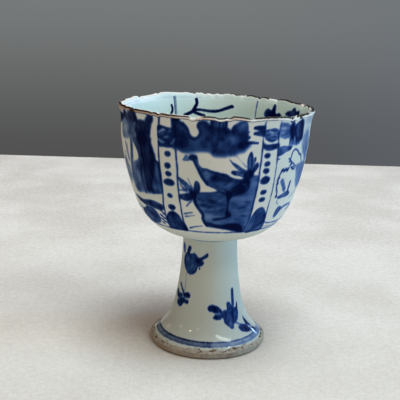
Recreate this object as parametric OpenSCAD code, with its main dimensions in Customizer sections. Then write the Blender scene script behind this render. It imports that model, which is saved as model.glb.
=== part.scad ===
// Porcelain stem cup: a thrown bowl luted with slip to a hollow, flaring stem, dipped in glaze
// inside and out, with an iron-brown dressed rim and a bare foot ring. The axis is +Z and the
// cup stands on z = 0. Every slope is in degrees from the horizontal.

/* [Overall] */
// Height over the rim
cup_h = 100; // [94:0.5:108]
// Diameter over the rim
rim_d = 79; // [75:0.5:83]
// Diameter of the bare foot edge
foot_d = 48; // [45:0.2:53]
// Height of the seam where the bowl sits on its stem
seam_z = 46.8; // [43:0.2:50]

/* [Bowl] */
// Slope of the underside beside the seam
under_slope = 1; // [0.5:0.25:6]
// Slope where the belly turns into the wall
belly_slope = 68; // [64:0.5:71]
// Slope of the wall where the lip begins to flare
brim_slope = 87.25; // [85:0.25:88]
// Slope of the lip at its edge
lip_slope = 70; // [68:0.5:77]
// Radius of the lip's outward flare
lip_flare_r = 27; // [18:0.5:32]
// Finished thickness of the lip
lip_t = 1.9; // [1.6:0.1:2.4]
// Diameter of the flat in the middle of the floor
floor_d = 18; // [14:0.5:22]
// Thickness of the floor over the joint
floor_t = 4.6; // [3.8:0.1:6]
// Slope where the floor's curve turns into the inside wall
inside_slope = 66; // [62:0.5:70]

/* [Stem] */
// Diameter of the stem at the seam
stem_d = 22.4; // [20.4:0.2:25]
// Slope of the flare where it leaves the foot's shoulder
flare_slope = 37.5; // [32:0.5:42]
// Slope where the flare turns into the shaft
shaft_slope = 79.25; // [76:0.25:81]
// Thickness of the shaft's wall at the seam
stem_wall = 4; // [3.4:0.1:4.8]
// Slope of the hollow at the foot ring
hollow_slope = 48; // [44:0.5:54]
// Slope where the hollow turns into its straight shaft
hollow_shaft_slope = 78; // [75:0.25:81]

/* [Foot] */
// Width of the flat ring that the cup stands on
ring_w = 3.2; // [2.4:0.1:4]
// Rounding of the ring's outer edge
edge_r = 1.5; // [1:0.1:2.2]
// Height of the upright stretch between the edge and the shoulder
upright_h = 0.1; // [0.1:0.1:1.4]
// Rounding of the shoulder above the bare edge
shoulder_r = 1.6; // [1.2:0.1:3]
// Angle round the shoulder at which the outside glaze stops
glaze_line = 28; // [15:1:40]
// Height inside the hollow at which its glaze stops
hollow_glaze_z = 2.4; // [1.6:0.1:4]

/* [Glaze and joint] */
// Thickness of the glaze and of the rim dressing
glaze_t = 0.3; // [0.2:0.05:0.45]
// Thickness of the slip between stem and bowl
slip_t = 0.8; // [0.5:0.1:1.2]

/* [Hidden] */
$fn = 160;
// Largest gap between a curve and its chords
chord_gap = 0.02;
// Fewest chords in a curve
fewest_chords = 3;

porcelain = "#e4dfd4";
slip = "#d6cfc0";
clear_glaze = "#dbe4e6";
iron_brown = "#8a6a4c";

stem_r = stem_d / 2;
foot_r = foot_d / 2;
// Radius of the stem's body at the joint, below its glaze
joint_r = stem_r - glaze_t;

// Geometry of the curves. An arc that bulges outwards has its centre inside the cup and is at
// slope s in the direction s - 90. One that hollows inwards on the outside wall has its centre
// outside: s + 90 where the lip flares up, 270 - s where the stem flares down.
function along(a) = [cos(a), sin(a)];
function arc(c, r, a0, a1) =
    let (step = 2 * acos(1 - chord_gap / r))
    let (n = max(fewest_chords, ceil(abs(a1 - a0) / step)))
    [for (i = [0:n]) c + r * along(a0 + (a1 - a0) * i / n)];
function reverse(list) = [for (i = [len(list) - 1:-1:0]) list[i]];
// Radii of two arcs that meet in one tangent, cover run and rise, and turn from s0 by s1 to s2
function twin_radii(run, rise, s0, s1, s2) =
    let (run_a = sin(s1) - sin(s0))
    let (run_b = sin(s2) - sin(s1))
    let (rise_a = cos(s0) - cos(s1))
    let (rise_b = cos(s1) - cos(s2))
    let (det = run_a * rise_b - run_b * rise_a)
    [(run * rise_b - rise * run_b) / det, (rise * run_a - run * rise_a) / det];

// Lip: its flare ends in a round edge whose top is at the cup's full height
lip_edge = [rim_d / 2 - lip_t / 2 * (1 - sin(lip_slope)), cup_h - lip_t / 2 * (1 + cos(lip_slope))];
lip_c = lip_edge - lip_flare_r * along(lip_slope + 90);
lip_cap_c = lip_c + (lip_flare_r + lip_t / 2) * along(lip_slope + 90);
lip_start = lip_c + lip_flare_r * along(brim_slope + 90);
inner_lip_start = lip_c + (lip_flare_r + lip_t) * along(brim_slope + 90);

// Outside of the bowl: a belly arc and a wall arc between the seam and the lip
seam = [stem_r, seam_z];
bowl_radii = twin_radii(lip_start.x - seam.x, lip_start.y - seam.y, under_slope, belly_slope, brim_slope);
belly_r = bowl_radii[0];
wall_r = bowl_radii[1];
belly_c = seam - belly_r * along(under_slope - 90);
wall_c = belly_c + (belly_r - wall_r) * along(belly_slope - 90);

// Joint: the flat under the bowl that the slip and the stem are set against
joint_slope = asin((joint_r - belly_c.x) / (belly_r - glaze_t));
joint_z = belly_c.y - (belly_r - glaze_t) * cos(joint_slope);
stem_top_z = joint_z - slip_t;

// Inside of the bowl: a flat floor, a belly arc and a wall arc up to the lip
floor_edge = [floor_d / 2, joint_z + floor_t];
inner_radii = twin_radii(inner_lip_start.x - floor_edge.x, inner_lip_start.y - floor_edge.y,
    0, inside_slope, brim_slope);
inner_belly_r = inner_radii[0];
inner_wall_r = inner_radii[1];
inner_belly_c = floor_edge - inner_belly_r * along(-90);
inner_wall_c = inner_belly_c + (inner_belly_r - inner_wall_r) * along(inside_slope - 90);

// Outside of the stem: the foot's shoulder, a flare arc and a shaft arc up to the joint
shoulder_c = [foot_r - shoulder_r, edge_r + upright_h];
shoulder_end = shoulder_c + (shoulder_r + glaze_t) * along(90 - flare_slope);
stem_radii = twin_radii(shoulder_end.x - stem_r, stem_top_z - shoulder_end.y, flare_slope, shaft_slope, 90);
flare_r = stem_radii[0];
shaft_r = stem_radii[1];
flare_c = shoulder_end - flare_r * along(270 - flare_slope);
shaft_c = flare_c + (flare_r - shaft_r) * along(270 - shaft_slope);

// Hollow of the stem: a flare arc from the foot ring and a shaft arc up to the joint
ring_edge = [foot_r - edge_r - ring_w, 0];
hollow_top_r = joint_r - stem_wall;
hollow_radii = twin_radii(ring_edge.x - hollow_top_r, stem_top_z, hollow_slope, hollow_shaft_slope, 90);
hollow_flare_r = hollow_radii[0];
hollow_shaft_r = hollow_radii[1];
hollow_flare_c = ring_edge - hollow_flare_r * along(270 - hollow_slope);
hollow_shaft_c = hollow_flare_c + (hollow_flare_r - hollow_shaft_r) * along(270 - hollow_shaft_slope);
hollow_glaze_slope = acos((hollow_flare_c.y - hollow_glaze_z) / hollow_flare_r);

// Outside of the bowl from slope s0 up to the lip's edge, depth below the finished surface
function bowl_outside(depth, s0) = concat(
    arc(belly_c, belly_r - depth, s0 - 90, belly_slope - 90),
    arc(wall_c, wall_r - depth, belly_slope - 90, brim_slope - 90),
    arc(lip_c, lip_flare_r + depth, brim_slope + 90, lip_slope + 90));

// Round edge of the lip, from the outside over to the inside
function lip_round(depth) = arc(lip_cap_c, lip_t / 2 - depth, lip_slope - 90, lip_slope + 90);

// Inside of the bowl from the lip's edge down to the middle of the floor
function bowl_inside(depth) = concat(
    arc(lip_c, lip_flare_r + lip_t - depth, lip_slope + 90, brim_slope + 90),
    arc(inner_wall_c, inner_wall_r + depth, brim_slope - 90, inside_slope - 90),
    arc(inner_belly_c, inner_belly_r + depth, inside_slope - 90, -90),
    [[0, floor_edge.y - depth]]);

// Outside of the stem from an angle round the shoulder up to the joint
function stem_outside(depth, from) = concat(
    arc(shoulder_c, shoulder_r + glaze_t - depth, from, 90 - flare_slope),
    arc(flare_c, flare_r + depth, 270 - flare_slope, 270 - shaft_slope),
    arc(shaft_c, shaft_r + depth, 270 - shaft_slope, 180));

// Wall of the hollow from slope s0 up to the joint, with a coat of some thickness on it
function hollow_wall(coat, s0) = concat(
    arc(hollow_flare_c, hollow_flare_r + coat, 270 - s0, 270 - hollow_shaft_slope),
    arc(hollow_shaft_c, hollow_shaft_r + coat, 270 - hollow_shaft_slope, 180));

// Thrown porcelain bowl, with a flat under it for the joint
module bowl() {
    color(porcelain)
        rotate_extrude()
            polygon(concat(
                [[0, joint_z]],
                bowl_outside(glaze_t, joint_slope),
                lip_round(glaze_t),
                bowl_inside(glaze_t)));
}

// Thrown porcelain stem, open right through, with a bare ring to stand on
module stem() {
    color(porcelain)
        rotate_extrude()
            polygon(concat(
                [ring_edge],
                arc([foot_r - edge_r, edge_r], edge_r, -90, 0),
                stem_outside(glaze_t, 0),
                reverse(hollow_wall(0, hollow_slope))));
}

// Ring of slip that bonds the stem's top to the bowl's flat
module luting_slip() {
    color(slip)
        rotate_extrude()
            translate([hollow_top_r, stem_top_z])
                square([stem_wall, slip_t]);
}

// Clear glaze over the painted outside, one coat from the rim dressing to the foot's shoulder
module outer_glaze() {
    color(clear_glaze)
        rotate_extrude()
            polygon(concat(
                stem_outside(0, glaze_line),
                bowl_outside(0, under_slope),
                reverse(bowl_outside(glaze_t, joint_slope)),
                reverse(stem_outside(glaze_t, glaze_line))));
}

// Clear glaze over the inside of the bowl, up to the rim dressing
module inner_glaze() {
    color(clear_glaze)
        rotate_extrude()
            polygon(concat(bowl_inside(0), reverse(bowl_inside(glaze_t))));
}

// Clear glaze in the hollow of the stem, across the joint and over the bowl's flat
module hollow_glaze() {
    color(clear_glaze)
        rotate_extrude()
            polygon(concat(
                hollow_wall(0, hollow_glaze_slope),
                [[hollow_top_r, joint_z], [0, joint_z]],
                [[0, joint_z - glaze_t], [hollow_top_r - glaze_t, joint_z - glaze_t]],
                reverse(hollow_wall(glaze_t, hollow_glaze_slope))));
}

// Iron-brown dressing over the round edge of the lip, flush with both glazes
module rim_dressing() {
    color(iron_brown)
        rotate_extrude()
            polygon(concat(lip_round(0), reverse(lip_round(glaze_t))));
}

bowl();
stem();
luting_slip();
outer_glaze();
inner_glaze();
hollow_glaze();
rim_dressing();
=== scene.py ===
"""A blue and white porcelain stem cup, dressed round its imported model: forms, painting, glaze and light."""

import math

import bpy
import numpy as np
from mathutils import Matrix, Vector


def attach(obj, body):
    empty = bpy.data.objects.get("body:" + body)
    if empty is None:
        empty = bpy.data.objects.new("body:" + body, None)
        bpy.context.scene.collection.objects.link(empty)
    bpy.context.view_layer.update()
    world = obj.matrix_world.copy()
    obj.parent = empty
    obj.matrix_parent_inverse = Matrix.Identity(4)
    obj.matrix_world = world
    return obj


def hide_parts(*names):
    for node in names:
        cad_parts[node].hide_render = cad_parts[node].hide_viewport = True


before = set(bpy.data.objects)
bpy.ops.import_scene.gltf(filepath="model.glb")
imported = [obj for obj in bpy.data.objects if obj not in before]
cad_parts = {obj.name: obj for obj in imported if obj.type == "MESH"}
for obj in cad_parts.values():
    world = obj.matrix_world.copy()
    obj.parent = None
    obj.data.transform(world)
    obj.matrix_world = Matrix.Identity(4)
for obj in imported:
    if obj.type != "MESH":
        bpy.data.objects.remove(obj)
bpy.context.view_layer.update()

MM = 0.001

# Sizes of the cup in millimetres, with slopes in degrees from the horizontal
CUP_H = 100
RIM_D = 79
FOOT_D = 48
SEAM_Z = 46.8
UNDER_SLOPE = 1
BELLY_SLOPE = 68
BRIM_SLOPE = 87.25
LIP_SLOPE = 70
LIP_FLARE_R = 27
LIP_T = 1.9
FLOOR_D = 18
FLOOR_T = 4.6
INSIDE_SLOPE = 66
STEM_D = 22.4
FLARE_SLOPE = 37.5
SHAFT_SLOPE = 79.25
STEM_WALL = 4
HOLLOW_SLOPE = 48
HOLLOW_SHAFT_SLOPE = 78
RING_W = 3.2
EDGE_R = 1.5
UPRIGHT_H = 0.1
SHOULDER_R = 1.6
GLAZE_LINE = 28
GLAZE_T = 0.3
SLIP_T = 0.8

# Glaze that gathers in the corner under the bowl
SEAM_FILLET_R = 0.5

# Spacing of the rings of points down a wall, and the number of points round one ring
PAINTED_STEP = 0.4
STEM_STEP = 0.5
BAND_STEP = 0.2
BAND_TOP = 8
PLAIN_STEP = 0.9
HIDDEN_STEP = 2.5
FEWEST_STEPS = 4
PAINTED_COLUMNS = 840
HIDDEN_COLUMNS = 360

# Points nearer than this, in millimetres, count as one
TOUCHING = 1e-6


def along(angle):
    """One millimetre in the direction of an angle, as radius and height."""
    return np.array([math.cos(math.radians(angle)), math.sin(math.radians(angle))])


def arc(centre, radius, start, end, step):
    """Points of an arc in the plane of radius and height, about one step apart."""
    length = abs(math.radians(end - start)) * radius
    count = max(FEWEST_STEPS, math.ceil(length / step))
    angles = np.radians(np.linspace(start, end, count + 1))
    return np.asarray(centre) + radius * np.stack([np.cos(angles), np.sin(angles)], axis=1)


def joined(*curves):
    """One run of points from several, with the shared end points kept once."""
    points = [curves[0]]
    for curve in curves[1:]:
        repeat = np.allclose(points[-1][-1], curve[0], atol=TOUCHING)
        points.append(curve[1:] if repeat else curve)
    return np.concatenate(points)


def twin_radii(run, rise, s0, s1, s2):
    """Radii of two arcs that meet in one tangent, cover run and rise, and turn from s0 by s1 to s2."""
    sines = np.sin(np.radians([s0, s1, s2]))
    cosines = np.cos(np.radians([s0, s1, s2]))
    turns = np.array([np.diff(sines), -np.diff(cosines)])
    return np.linalg.solve(turns, [run, rise])


def smooth_step(low, high, value):
    """0 where a value is low, 1 where it is high, and smooth between."""
    t = np.clip((value - low) / (high - low), 0, 1)
    return t * t * (3 - 2 * t)


# Lip
lip_edge = np.array([
    RIM_D / 2 - LIP_T / 2 * (1 - math.sin(math.radians(LIP_SLOPE))),
    CUP_H - LIP_T / 2 * (1 + math.cos(math.radians(LIP_SLOPE))),
])
lip_c = lip_edge - LIP_FLARE_R * along(LIP_SLOPE + 90)
lip_cap_c = lip_c + (LIP_FLARE_R + LIP_T / 2) * along(LIP_SLOPE + 90)
lip_start = lip_c + LIP_FLARE_R * along(BRIM_SLOPE + 90)
inner_lip_start = lip_c + (LIP_FLARE_R + LIP_T) * along(BRIM_SLOPE + 90)

# Outside of the bowl
stem_r = STEM_D / 2
foot_r = FOOT_D / 2
joint_r = stem_r - GLAZE_T
seam = np.array([stem_r, SEAM_Z])
belly_r, wall_r = twin_radii(*(lip_start - seam), UNDER_SLOPE, BELLY_SLOPE, BRIM_SLOPE)
belly_c = seam - belly_r * along(UNDER_SLOPE - 90)
wall_c = belly_c + (belly_r - wall_r) * along(BELLY_SLOPE - 90)
joint_slope = math.degrees(math.asin((joint_r - belly_c[0]) / (belly_r - GLAZE_T)))
joint_z = belly_c[1] - (belly_r - GLAZE_T) * math.cos(math.radians(joint_slope))
stem_top_z = joint_z - SLIP_T

# Inside of the bowl
floor_edge = np.array([FLOOR_D / 2, joint_z + FLOOR_T])
inner_belly_r, inner_wall_r = twin_radii(*(inner_lip_start - floor_edge), 0, INSIDE_SLOPE, BRIM_SLOPE)
inner_belly_c = floor_edge - inner_belly_r * along(-90)
inner_wall_c = inner_belly_c + (inner_belly_r - inner_wall_r) * along(INSIDE_SLOPE - 90)

# Outside and hollow of the stem
shoulder_c = np.array([foot_r - SHOULDER_R, EDGE_R + UPRIGHT_H])
shoulder_end = shoulder_c + (SHOULDER_R + GLAZE_T) * along(90 - FLARE_SLOPE)
flare_r, shaft_r = twin_radii(
    shoulder_end[0] - stem_r, stem_top_z - shoulder_end[1], FLARE_SLOPE, SHAFT_SLOPE, 90)
flare_c = shoulder_end - flare_r * along(270 - FLARE_SLOPE)
shaft_c = flare_c + (flare_r - shaft_r) * along(270 - SHAFT_SLOPE)
ring_edge = np.array([foot_r - EDGE_R - RING_W, 0])
hollow_top_r = joint_r - STEM_WALL
hollow_flare_r, hollow_shaft_r = twin_radii(
    ring_edge[0] - hollow_top_r, stem_top_z, HOLLOW_SLOPE, HOLLOW_SHAFT_SLOPE, 90)
hollow_flare_c = ring_edge - hollow_flare_r * along(270 - HOLLOW_SLOPE)
hollow_shaft_c = hollow_flare_c + (hollow_flare_r - hollow_shaft_r) * along(270 - HOLLOW_SHAFT_SLOPE)


def bowl_outside(depth, slope, step):
    """Outside of the bowl from a slope up to the lip's edge, some depth below the glaze's face."""
    return joined(
        arc(belly_c, belly_r - depth, slope - 90, BELLY_SLOPE - 90, step),
        arc(wall_c, wall_r - depth, BELLY_SLOPE - 90, BRIM_SLOPE - 90, step),
        arc(lip_c, LIP_FLARE_R + depth, BRIM_SLOPE + 90, LIP_SLOPE + 90, step))


def lip_round(depth, step):
    """The rounded lip from its outer to its inner edge."""
    return arc(lip_cap_c, LIP_T / 2 - depth, LIP_SLOPE - 90, LIP_SLOPE + 90, step)


def bowl_inside(depth, step):
    """Inside of the bowl from the lip's edge down to the middle of the floor."""
    return joined(
        arc(lip_c, LIP_FLARE_R + LIP_T - depth, LIP_SLOPE + 90, BRIM_SLOPE + 90, step),
        arc(inner_wall_c, inner_wall_r + depth, BRIM_SLOPE - 90, INSIDE_SLOPE - 90, step),
        arc(inner_belly_c, inner_belly_r + depth, INSIDE_SLOPE - 90, -90, step),
        np.linspace((FLOOR_D / 2, floor_edge[1] - depth), (0, floor_edge[1] - depth), FEWEST_STEPS * 2))


def stem_outside(depth, start, step):
    """Outside of the stem from an angle round the foot's shoulder up to the joint."""
    return joined(
        arc(shoulder_c, SHOULDER_R + GLAZE_T - depth, start, 90 - FLARE_SLOPE, step),
        arc(flare_c, flare_r + depth, 270 - FLARE_SLOPE, 270 - SHAFT_SLOPE, step),
        arc(shaft_c, shaft_r + depth, 270 - SHAFT_SLOPE, 180, step))


def hollow_wall(step):
    """The hollow of the stem from its mouth up to the joint."""
    return joined(
        arc(hollow_flare_c, hollow_flare_r, 270 - HOLLOW_SLOPE, 270 - HOLLOW_SHAFT_SLOPE, step),
        arc(hollow_shaft_c, hollow_shaft_r, 270 - HOLLOW_SHAFT_SLOPE, 180, step))


def glazed_outside():
    """The glaze's outer face from the foot to the lip, with a small fillet under the bowl."""
    fillet_c = np.array([stem_r + SEAM_FILLET_R, SEAM_Z - SEAM_FILLET_R])
    low, high = stem_outside(0, GLAZE_LINE, BAND_STEP), stem_outside(0, GLAZE_LINE, STEM_STEP)
    stem = joined(low[low[:, 1] < BAND_TOP], high[(high[:, 1] > BAND_TOP) & (high[:, 1] < fillet_c[1])])
    slope = math.degrees(math.asin((fillet_c[0] - belly_c[0]) / belly_r))
    bowl = bowl_outside(0, slope, PAINTED_STEP)
    return joined(stem, arc(fillet_c, SEAM_FILLET_R, 180, 90, PAINTED_STEP), bowl[1:])


# How the bowl came off the wheel: set off its stem, leaning, with an uneven rim
SET_OFF = 0.932
LEAN = -0.0075
RIM_TILT = -0.0072
TILT_FROM = 60
FREE_R = (11.5, 16)
FREE_Z = (48.5, 51)
NIBBLED_Z = (96.6, 99.4)
WAVY_Z = (88, 99)

# Marks of the rim, each with its angle and half width in degrees and its depth in millimetres
FRONT_CHIPS = [
    (-10, 4, 0.25), (-178, 3, 0.15), (161, 2.5, 0.45), (139, 4, 0.55), (49, 3, 0.25),
    (63, 7, 0.2), (72, 3, 0.15), (20, 2, 0.15), (-108, 5, 0.4), (-132, 5, 0.4),
    (110, 2.5, 0.4), (175, 3, 0.15),
]
DARK_NOTCHES = [(-52.4, 2, 0.6), (54, 1.4, 0.4), (96, 2, 0.35)]
RIM_SWELLS = [(-124, 11, 0.6), (-145, 6, -0.25), (-97, 6, 0.7), (-166, 5, -0.35), (3, 9, -0.6)]
RIM_PULLS = [(-92, 34, -0.95), (-60, 16, 0.25)]

# Small marks all round: how many, with their least and greatest half width and depth
SMALL_CHIPS = (46, (1.3, 5), (0.08, 0.4))
BITES = (70, (0.5, 1.6), (0.05, 0.26))
CHIP_SEED = 7
CHIP_STEEPNESS = 4

# Waves of the rim: how many in a turn, height and phase, which doubles for waves in and out
RIM_WAVE = [(3, 0.10, 0.7), (5, 0.09, 2.1), (8, 0.07, 4.0), (13, 0.05, 1.1)]
RIM_RAISE = 0.5
RIM_DIP = 0.7
DIP_AT = 140


def away(angle, centre):
    """Difference of two angles in degrees, between -180 and 180."""
    return (angle - centre + 180) % 360 - 180


def all_chips():
    """Chips of the rim: those that show in front with small ones all round, and sharp bites."""
    draw = np.random.default_rng(CHIP_SEED)
    groups = []
    for count, spans, depths in (SMALL_CHIPS, BITES):
        places = draw.uniform(-180, 180, count)
        halves = draw.uniform(*spans, count)
        groups.append(list(zip(places, halves, draw.uniform(*depths, count))))
    return FRONT_CHIPS + groups[0], DARK_NOTCHES + groups[1]


CHIPPED, BITTEN = all_chips()


def rim_marks(degrees, marks, steepness=2):
    """The depth of some marks of the rim at an angle."""
    return sum(
        depth * np.exp(-(away(degrees, centre) / half) ** steepness) for centre, half, depth in marks)


def chip_depth(degrees, chips):
    return rim_marks(degrees, chips, CHIP_STEEPNESS)


def rim_drop(degrees):
    """How far the chipped, wavy rim lies below its full height at an angle."""
    drop = chip_depth(degrees, CHIPPED) + chip_depth(degrees, BITTEN) - RIM_RAISE
    drop += rim_marks(degrees, RIM_SWELLS)
    drop += RIM_DIP * (1 + np.cos(np.radians(degrees - DIP_AT))) / 2
    for waves, height, phase in RIM_WAVE:
        drop += height * (1 + np.cos(waves * np.radians(degrees) + phase)) / 2
    return drop


def thrown(r, z, degrees):
    """Places points of the bowl as it was thrown, luted and worn. All in millimetres."""
    free = np.maximum(smooth_step(*FREE_R, r) * (z > SEAM_Z - SEAM_FILLET_R), smooth_step(*FREE_Z, z))
    angle = np.radians(degrees)
    wave = sum(height * np.sin(waves * angle + 2 * phase) for waves, height, phase in RIM_WAVE)
    r = r + (wave + rim_marks(degrees, RIM_PULLS)) * smooth_step(*WAVY_Z, z)
    x = r * np.sin(angle) + free * (SET_OFF + LEAN * (z - SEAM_Z))
    y = -r * np.cos(angle)
    tilt = np.clip((z - TILT_FROM) / (CUP_H - TILT_FROM), 0, 1) * RIM_TILT * x
    return np.stack([x, y, z + tilt - rim_drop(degrees) * smooth_step(*NIBBLED_Z, z)], axis=-1)


# How the foot was trimmed: an edge that is worn a little and uneven
FOOT_WAVE = [(2, 0.05, 0.3), (5, 0.05, 1.9), (11, 0.035, 0.5), (23, 0.03, 3.3), (41, 0.02, 2.2)]
FOOT_WORN = 0.08
RAGGED_FROM = (0, 0.4)
RAGGED_TO = (1.6, 2.6)


def trimmed(r, z, degrees):
    """Places points of the stem, whose bare edge is a little ragged."""
    angle = np.radians(degrees)
    wave = sum(height * np.sin(waves * angle + phase) for waves, height, phase in FOOT_WAVE)
    ragged = smooth_step(*RAGGED_FROM, z) * (1 - smooth_step(*RAGGED_TO, z))
    r = r - (FOOT_WORN + wave) * ragged
    return np.stack([r * np.sin(angle), -r * np.cos(angle), z], axis=-1)


# Parts of a piece's flat map: rows that show, rows that don't, and the step to a pole
SHOWN_MAP = (0, 0.94)
HIDDEN_MAP = (0.95, 1)
POLE_MAP = 0.01


def add(name, data):
    """A new object in the scene."""
    made = bpy.data.objects.new(name, data)
    bpy.context.scene.collection.objects.link(made)
    return made


def lathe(name, rows, columns, place, shown_rows=None):
    """A closed solid turned from rings of points, with its flat map, and its points' angles and heights."""
    rows = np.asarray(rows)
    ends = rows[0, 0] < TOUCHING, rows[-1, 0] < TOUCHING
    body = rows[int(ends[0]):len(rows) - int(ends[1])]
    degrees = np.linspace(-180, 180, columns, endpoint=False)
    grid_r, grid_a = np.meshgrid(body[:, 0], degrees, indexing="ij")
    grid_z = np.repeat(body[:, 1:], columns, axis=1)
    points = place(grid_r, grid_z, grid_a).reshape(-1, 3)
    count = len(body)
    index = np.arange(count * columns).reshape(count, columns)
    following = np.roll(index, -1, axis=1)
    stops = np.linspace(0, 1, count + 1)
    if shown_rows:
        hidden_rows = count + 1 - shown_rows
        stops = np.concatenate([np.linspace(*SHOWN_MAP, shown_rows), np.linspace(*HIDDEN_MAP, hidden_rows)])
    faces, flat = [], []
    last = count if not any(ends) else count - 1
    u = np.linspace(0, 1, columns + 1)
    for i in range(last):
        k = (i + 1) % count
        faces += np.stack([index[i], following[i], following[k], index[k]], axis=1).tolist()
        low, high = np.full(columns, stops[i]), np.full(columns, stops[i + 1])
        flat.append(np.stack([u[:-1], low, u[1:], low, u[1:], high, u[:-1], high], axis=1).ravel())
    for ring, end, pole in ((0, ends[0], rows[0]), (count - 1, ends[1], rows[-1])):
        if end:
            tip = len(points)
            points = np.concatenate([points, place(pole[:1], pole[1:], np.zeros(1))])
            pair = (following[ring], index[ring]) if ring == 0 else (index[ring], following[ring])
            faces += np.stack([*pair, np.full(columns, tip)], axis=1).tolist()
            beyond = np.clip(stops[ring] + (POLE_MAP if ring else -POLE_MAP), 0, 1)
            at, beyond = np.full(columns, stops[ring]), np.full(columns, beyond)
            flat.append(np.stack([u[:-1], at, u[1:], at, u[1:], beyond], axis=1).ravel())
    mesh = bpy.data.meshes.new(name)
    mesh.from_pydata((points * MM).tolist(), [], faces)
    mesh.uv_layers.new(name="OFBake").data.foreach_set("uv", np.concatenate(flat).astype(np.float32))
    mesh.polygons.foreach_set("use_smooth", np.ones(len(mesh.polygons), bool))
    mesh.update()
    return add(name, mesh), grid_a.ravel(), grid_z.ravel()


def keep_values(piece, name, values):
    """Keeps one number for each point of a piece, for its material."""
    full = np.zeros(len(piece.data.vertices), np.float32)
    full[:len(values)] = values
    piece.data.attributes.new(name, "FLOAT", "POINT").data.foreach_set("value", full)


# Cobalt brushed on the wall. Tones run from 0, bare, to 1, darkest
DARKEST = 0.98
DARK = 0.92
MIDDLE = 0.6
OVERLAP = 0.4

# The sheet on which a wall is painted, and the corners of its round dots and turned lines, in degrees
SHEET_COLUMNS = 2700
SHEET_STEP = 0.1
LAST_ROW = 1.001
CURVE_PARTS = 4
DOT_STEP = 30
RING_STEP = 15

# Edges of the brush marks in millimetres, and how uneven a mark is
SOFT_EDGE = 0.5
RAGGED_EDGE = 0.04
RAGGED_WASH = 1.5
EDGE_LINE = 0.7
THIN_EDGE = 1.6
STROKE_UNEVEN = 0.06
WASH_UNEVEN = 0.1

# Soft random patches of the sheet, in cells high and wide, and their shares in the grain of the cobalt
FEWEST_CELLS = 4
SPARE_CELLS = 3
EVENED_LIMIT = 2
POOL_CELLS = (55, 60)
PATCH_CELLS = (22, 24)
FINE_CELLS = (7, 8)
UPRIGHT_CELLS = (75, 8)
LEVEL_CELLS = (7, 80)
EDGE_CELLS = (13, 14)
POOL_SHARE = 0.6
PATCH_SHARE = 0.45
FINE_SHARE = 0.25
STREAK_SHARE = 0.8
EDGE_PATCH_SHARE = 0.8
RISING = 1.1
FALLING = -1.5

# How far the fired cobalt runs into the glaze, in cells of the sheet, and the share that runs
BLEED_CELLS = 6
BLEED = 0.5


def curve_through(points, closed):
    """A smooth line through given points."""
    points = np.asarray(points, float)
    if len(points) < 3:
        return points
    if closed:
        padded = np.concatenate([points[-1:], points, points[:2]])
    else:
        padded = np.concatenate([2 * points[:1] - points[1:2], points, 2 * points[-1:] - points[-2:-1]])
    t = (np.arange(CURVE_PARTS) / CURVE_PARTS)[:, None]
    runs = []
    for a, b, c, d in zip(padded, padded[1:], padded[2:], padded[3:]):
        runs.append(b + 0.5 * t * (c - a + t * (2 * a - 5 * b + 4 * c - d + t * (3 * (b - c) + d - a))))
    return np.concatenate(runs if closed else runs + [points[-1:]])


def blended(cells, i, j, j2, fy, fx):
    """Values between the cells of a sheet, from the four round each place."""
    top = cells[i, j] * (1 - fx) + cells[i, j2] * fx
    low = cells[i + 1, j] * (1 - fx) + cells[i + 1, j2] * fx
    return top * (1 - fy) + low * fy


def cloudy(draw, rows, columns, tall, wide):
    """A field of soft random patches that meets itself round the cup, from 0 to 1."""
    across = max(FEWEST_CELLS, columns // wide)
    cells = draw.random((rows // tall + SPARE_CELLS, across))
    y, x = np.arange(rows) / tall, np.arange(columns) / columns * across
    i, j = y.astype(int), x.astype(int) % across
    fy, fx = smooth_step(0, 1, y - i)[:, None], smooth_step(0, 1, x - np.floor(x))[None, :]
    return blended(cells, i[:, None], j[None, :], (j[None, :] + 1) % across, fy, fx)


def evened(field):
    """A field about zero, with most of it between -1 and 1."""
    return np.clip((field - field.mean()) / field.std(), -EVENED_LIMIT, EVENED_LIMIT)


def slanted(field, slope):
    """A field of upright streaks made to lean by some columns a row."""
    rows, columns = field.shape
    index = (np.arange(columns)[None, :] + (np.arange(rows) * slope).astype(int)[:, None]) % columns
    return np.take_along_axis(field, index, axis=1)


def off_line(x, z, start, end):
    """Distance of points from a straight line between two others, and the share of the way along it."""
    run, rise = end[0] - start[0], end[1] - start[1]
    t = np.clip(((x - start[0]) * run + (z - start[1]) * rise) / max(run * run + rise * rise, TOUCHING), 0, 1)
    return np.hypot(x - start[0] - t * run, z - start[1] - t * rise), t


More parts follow.
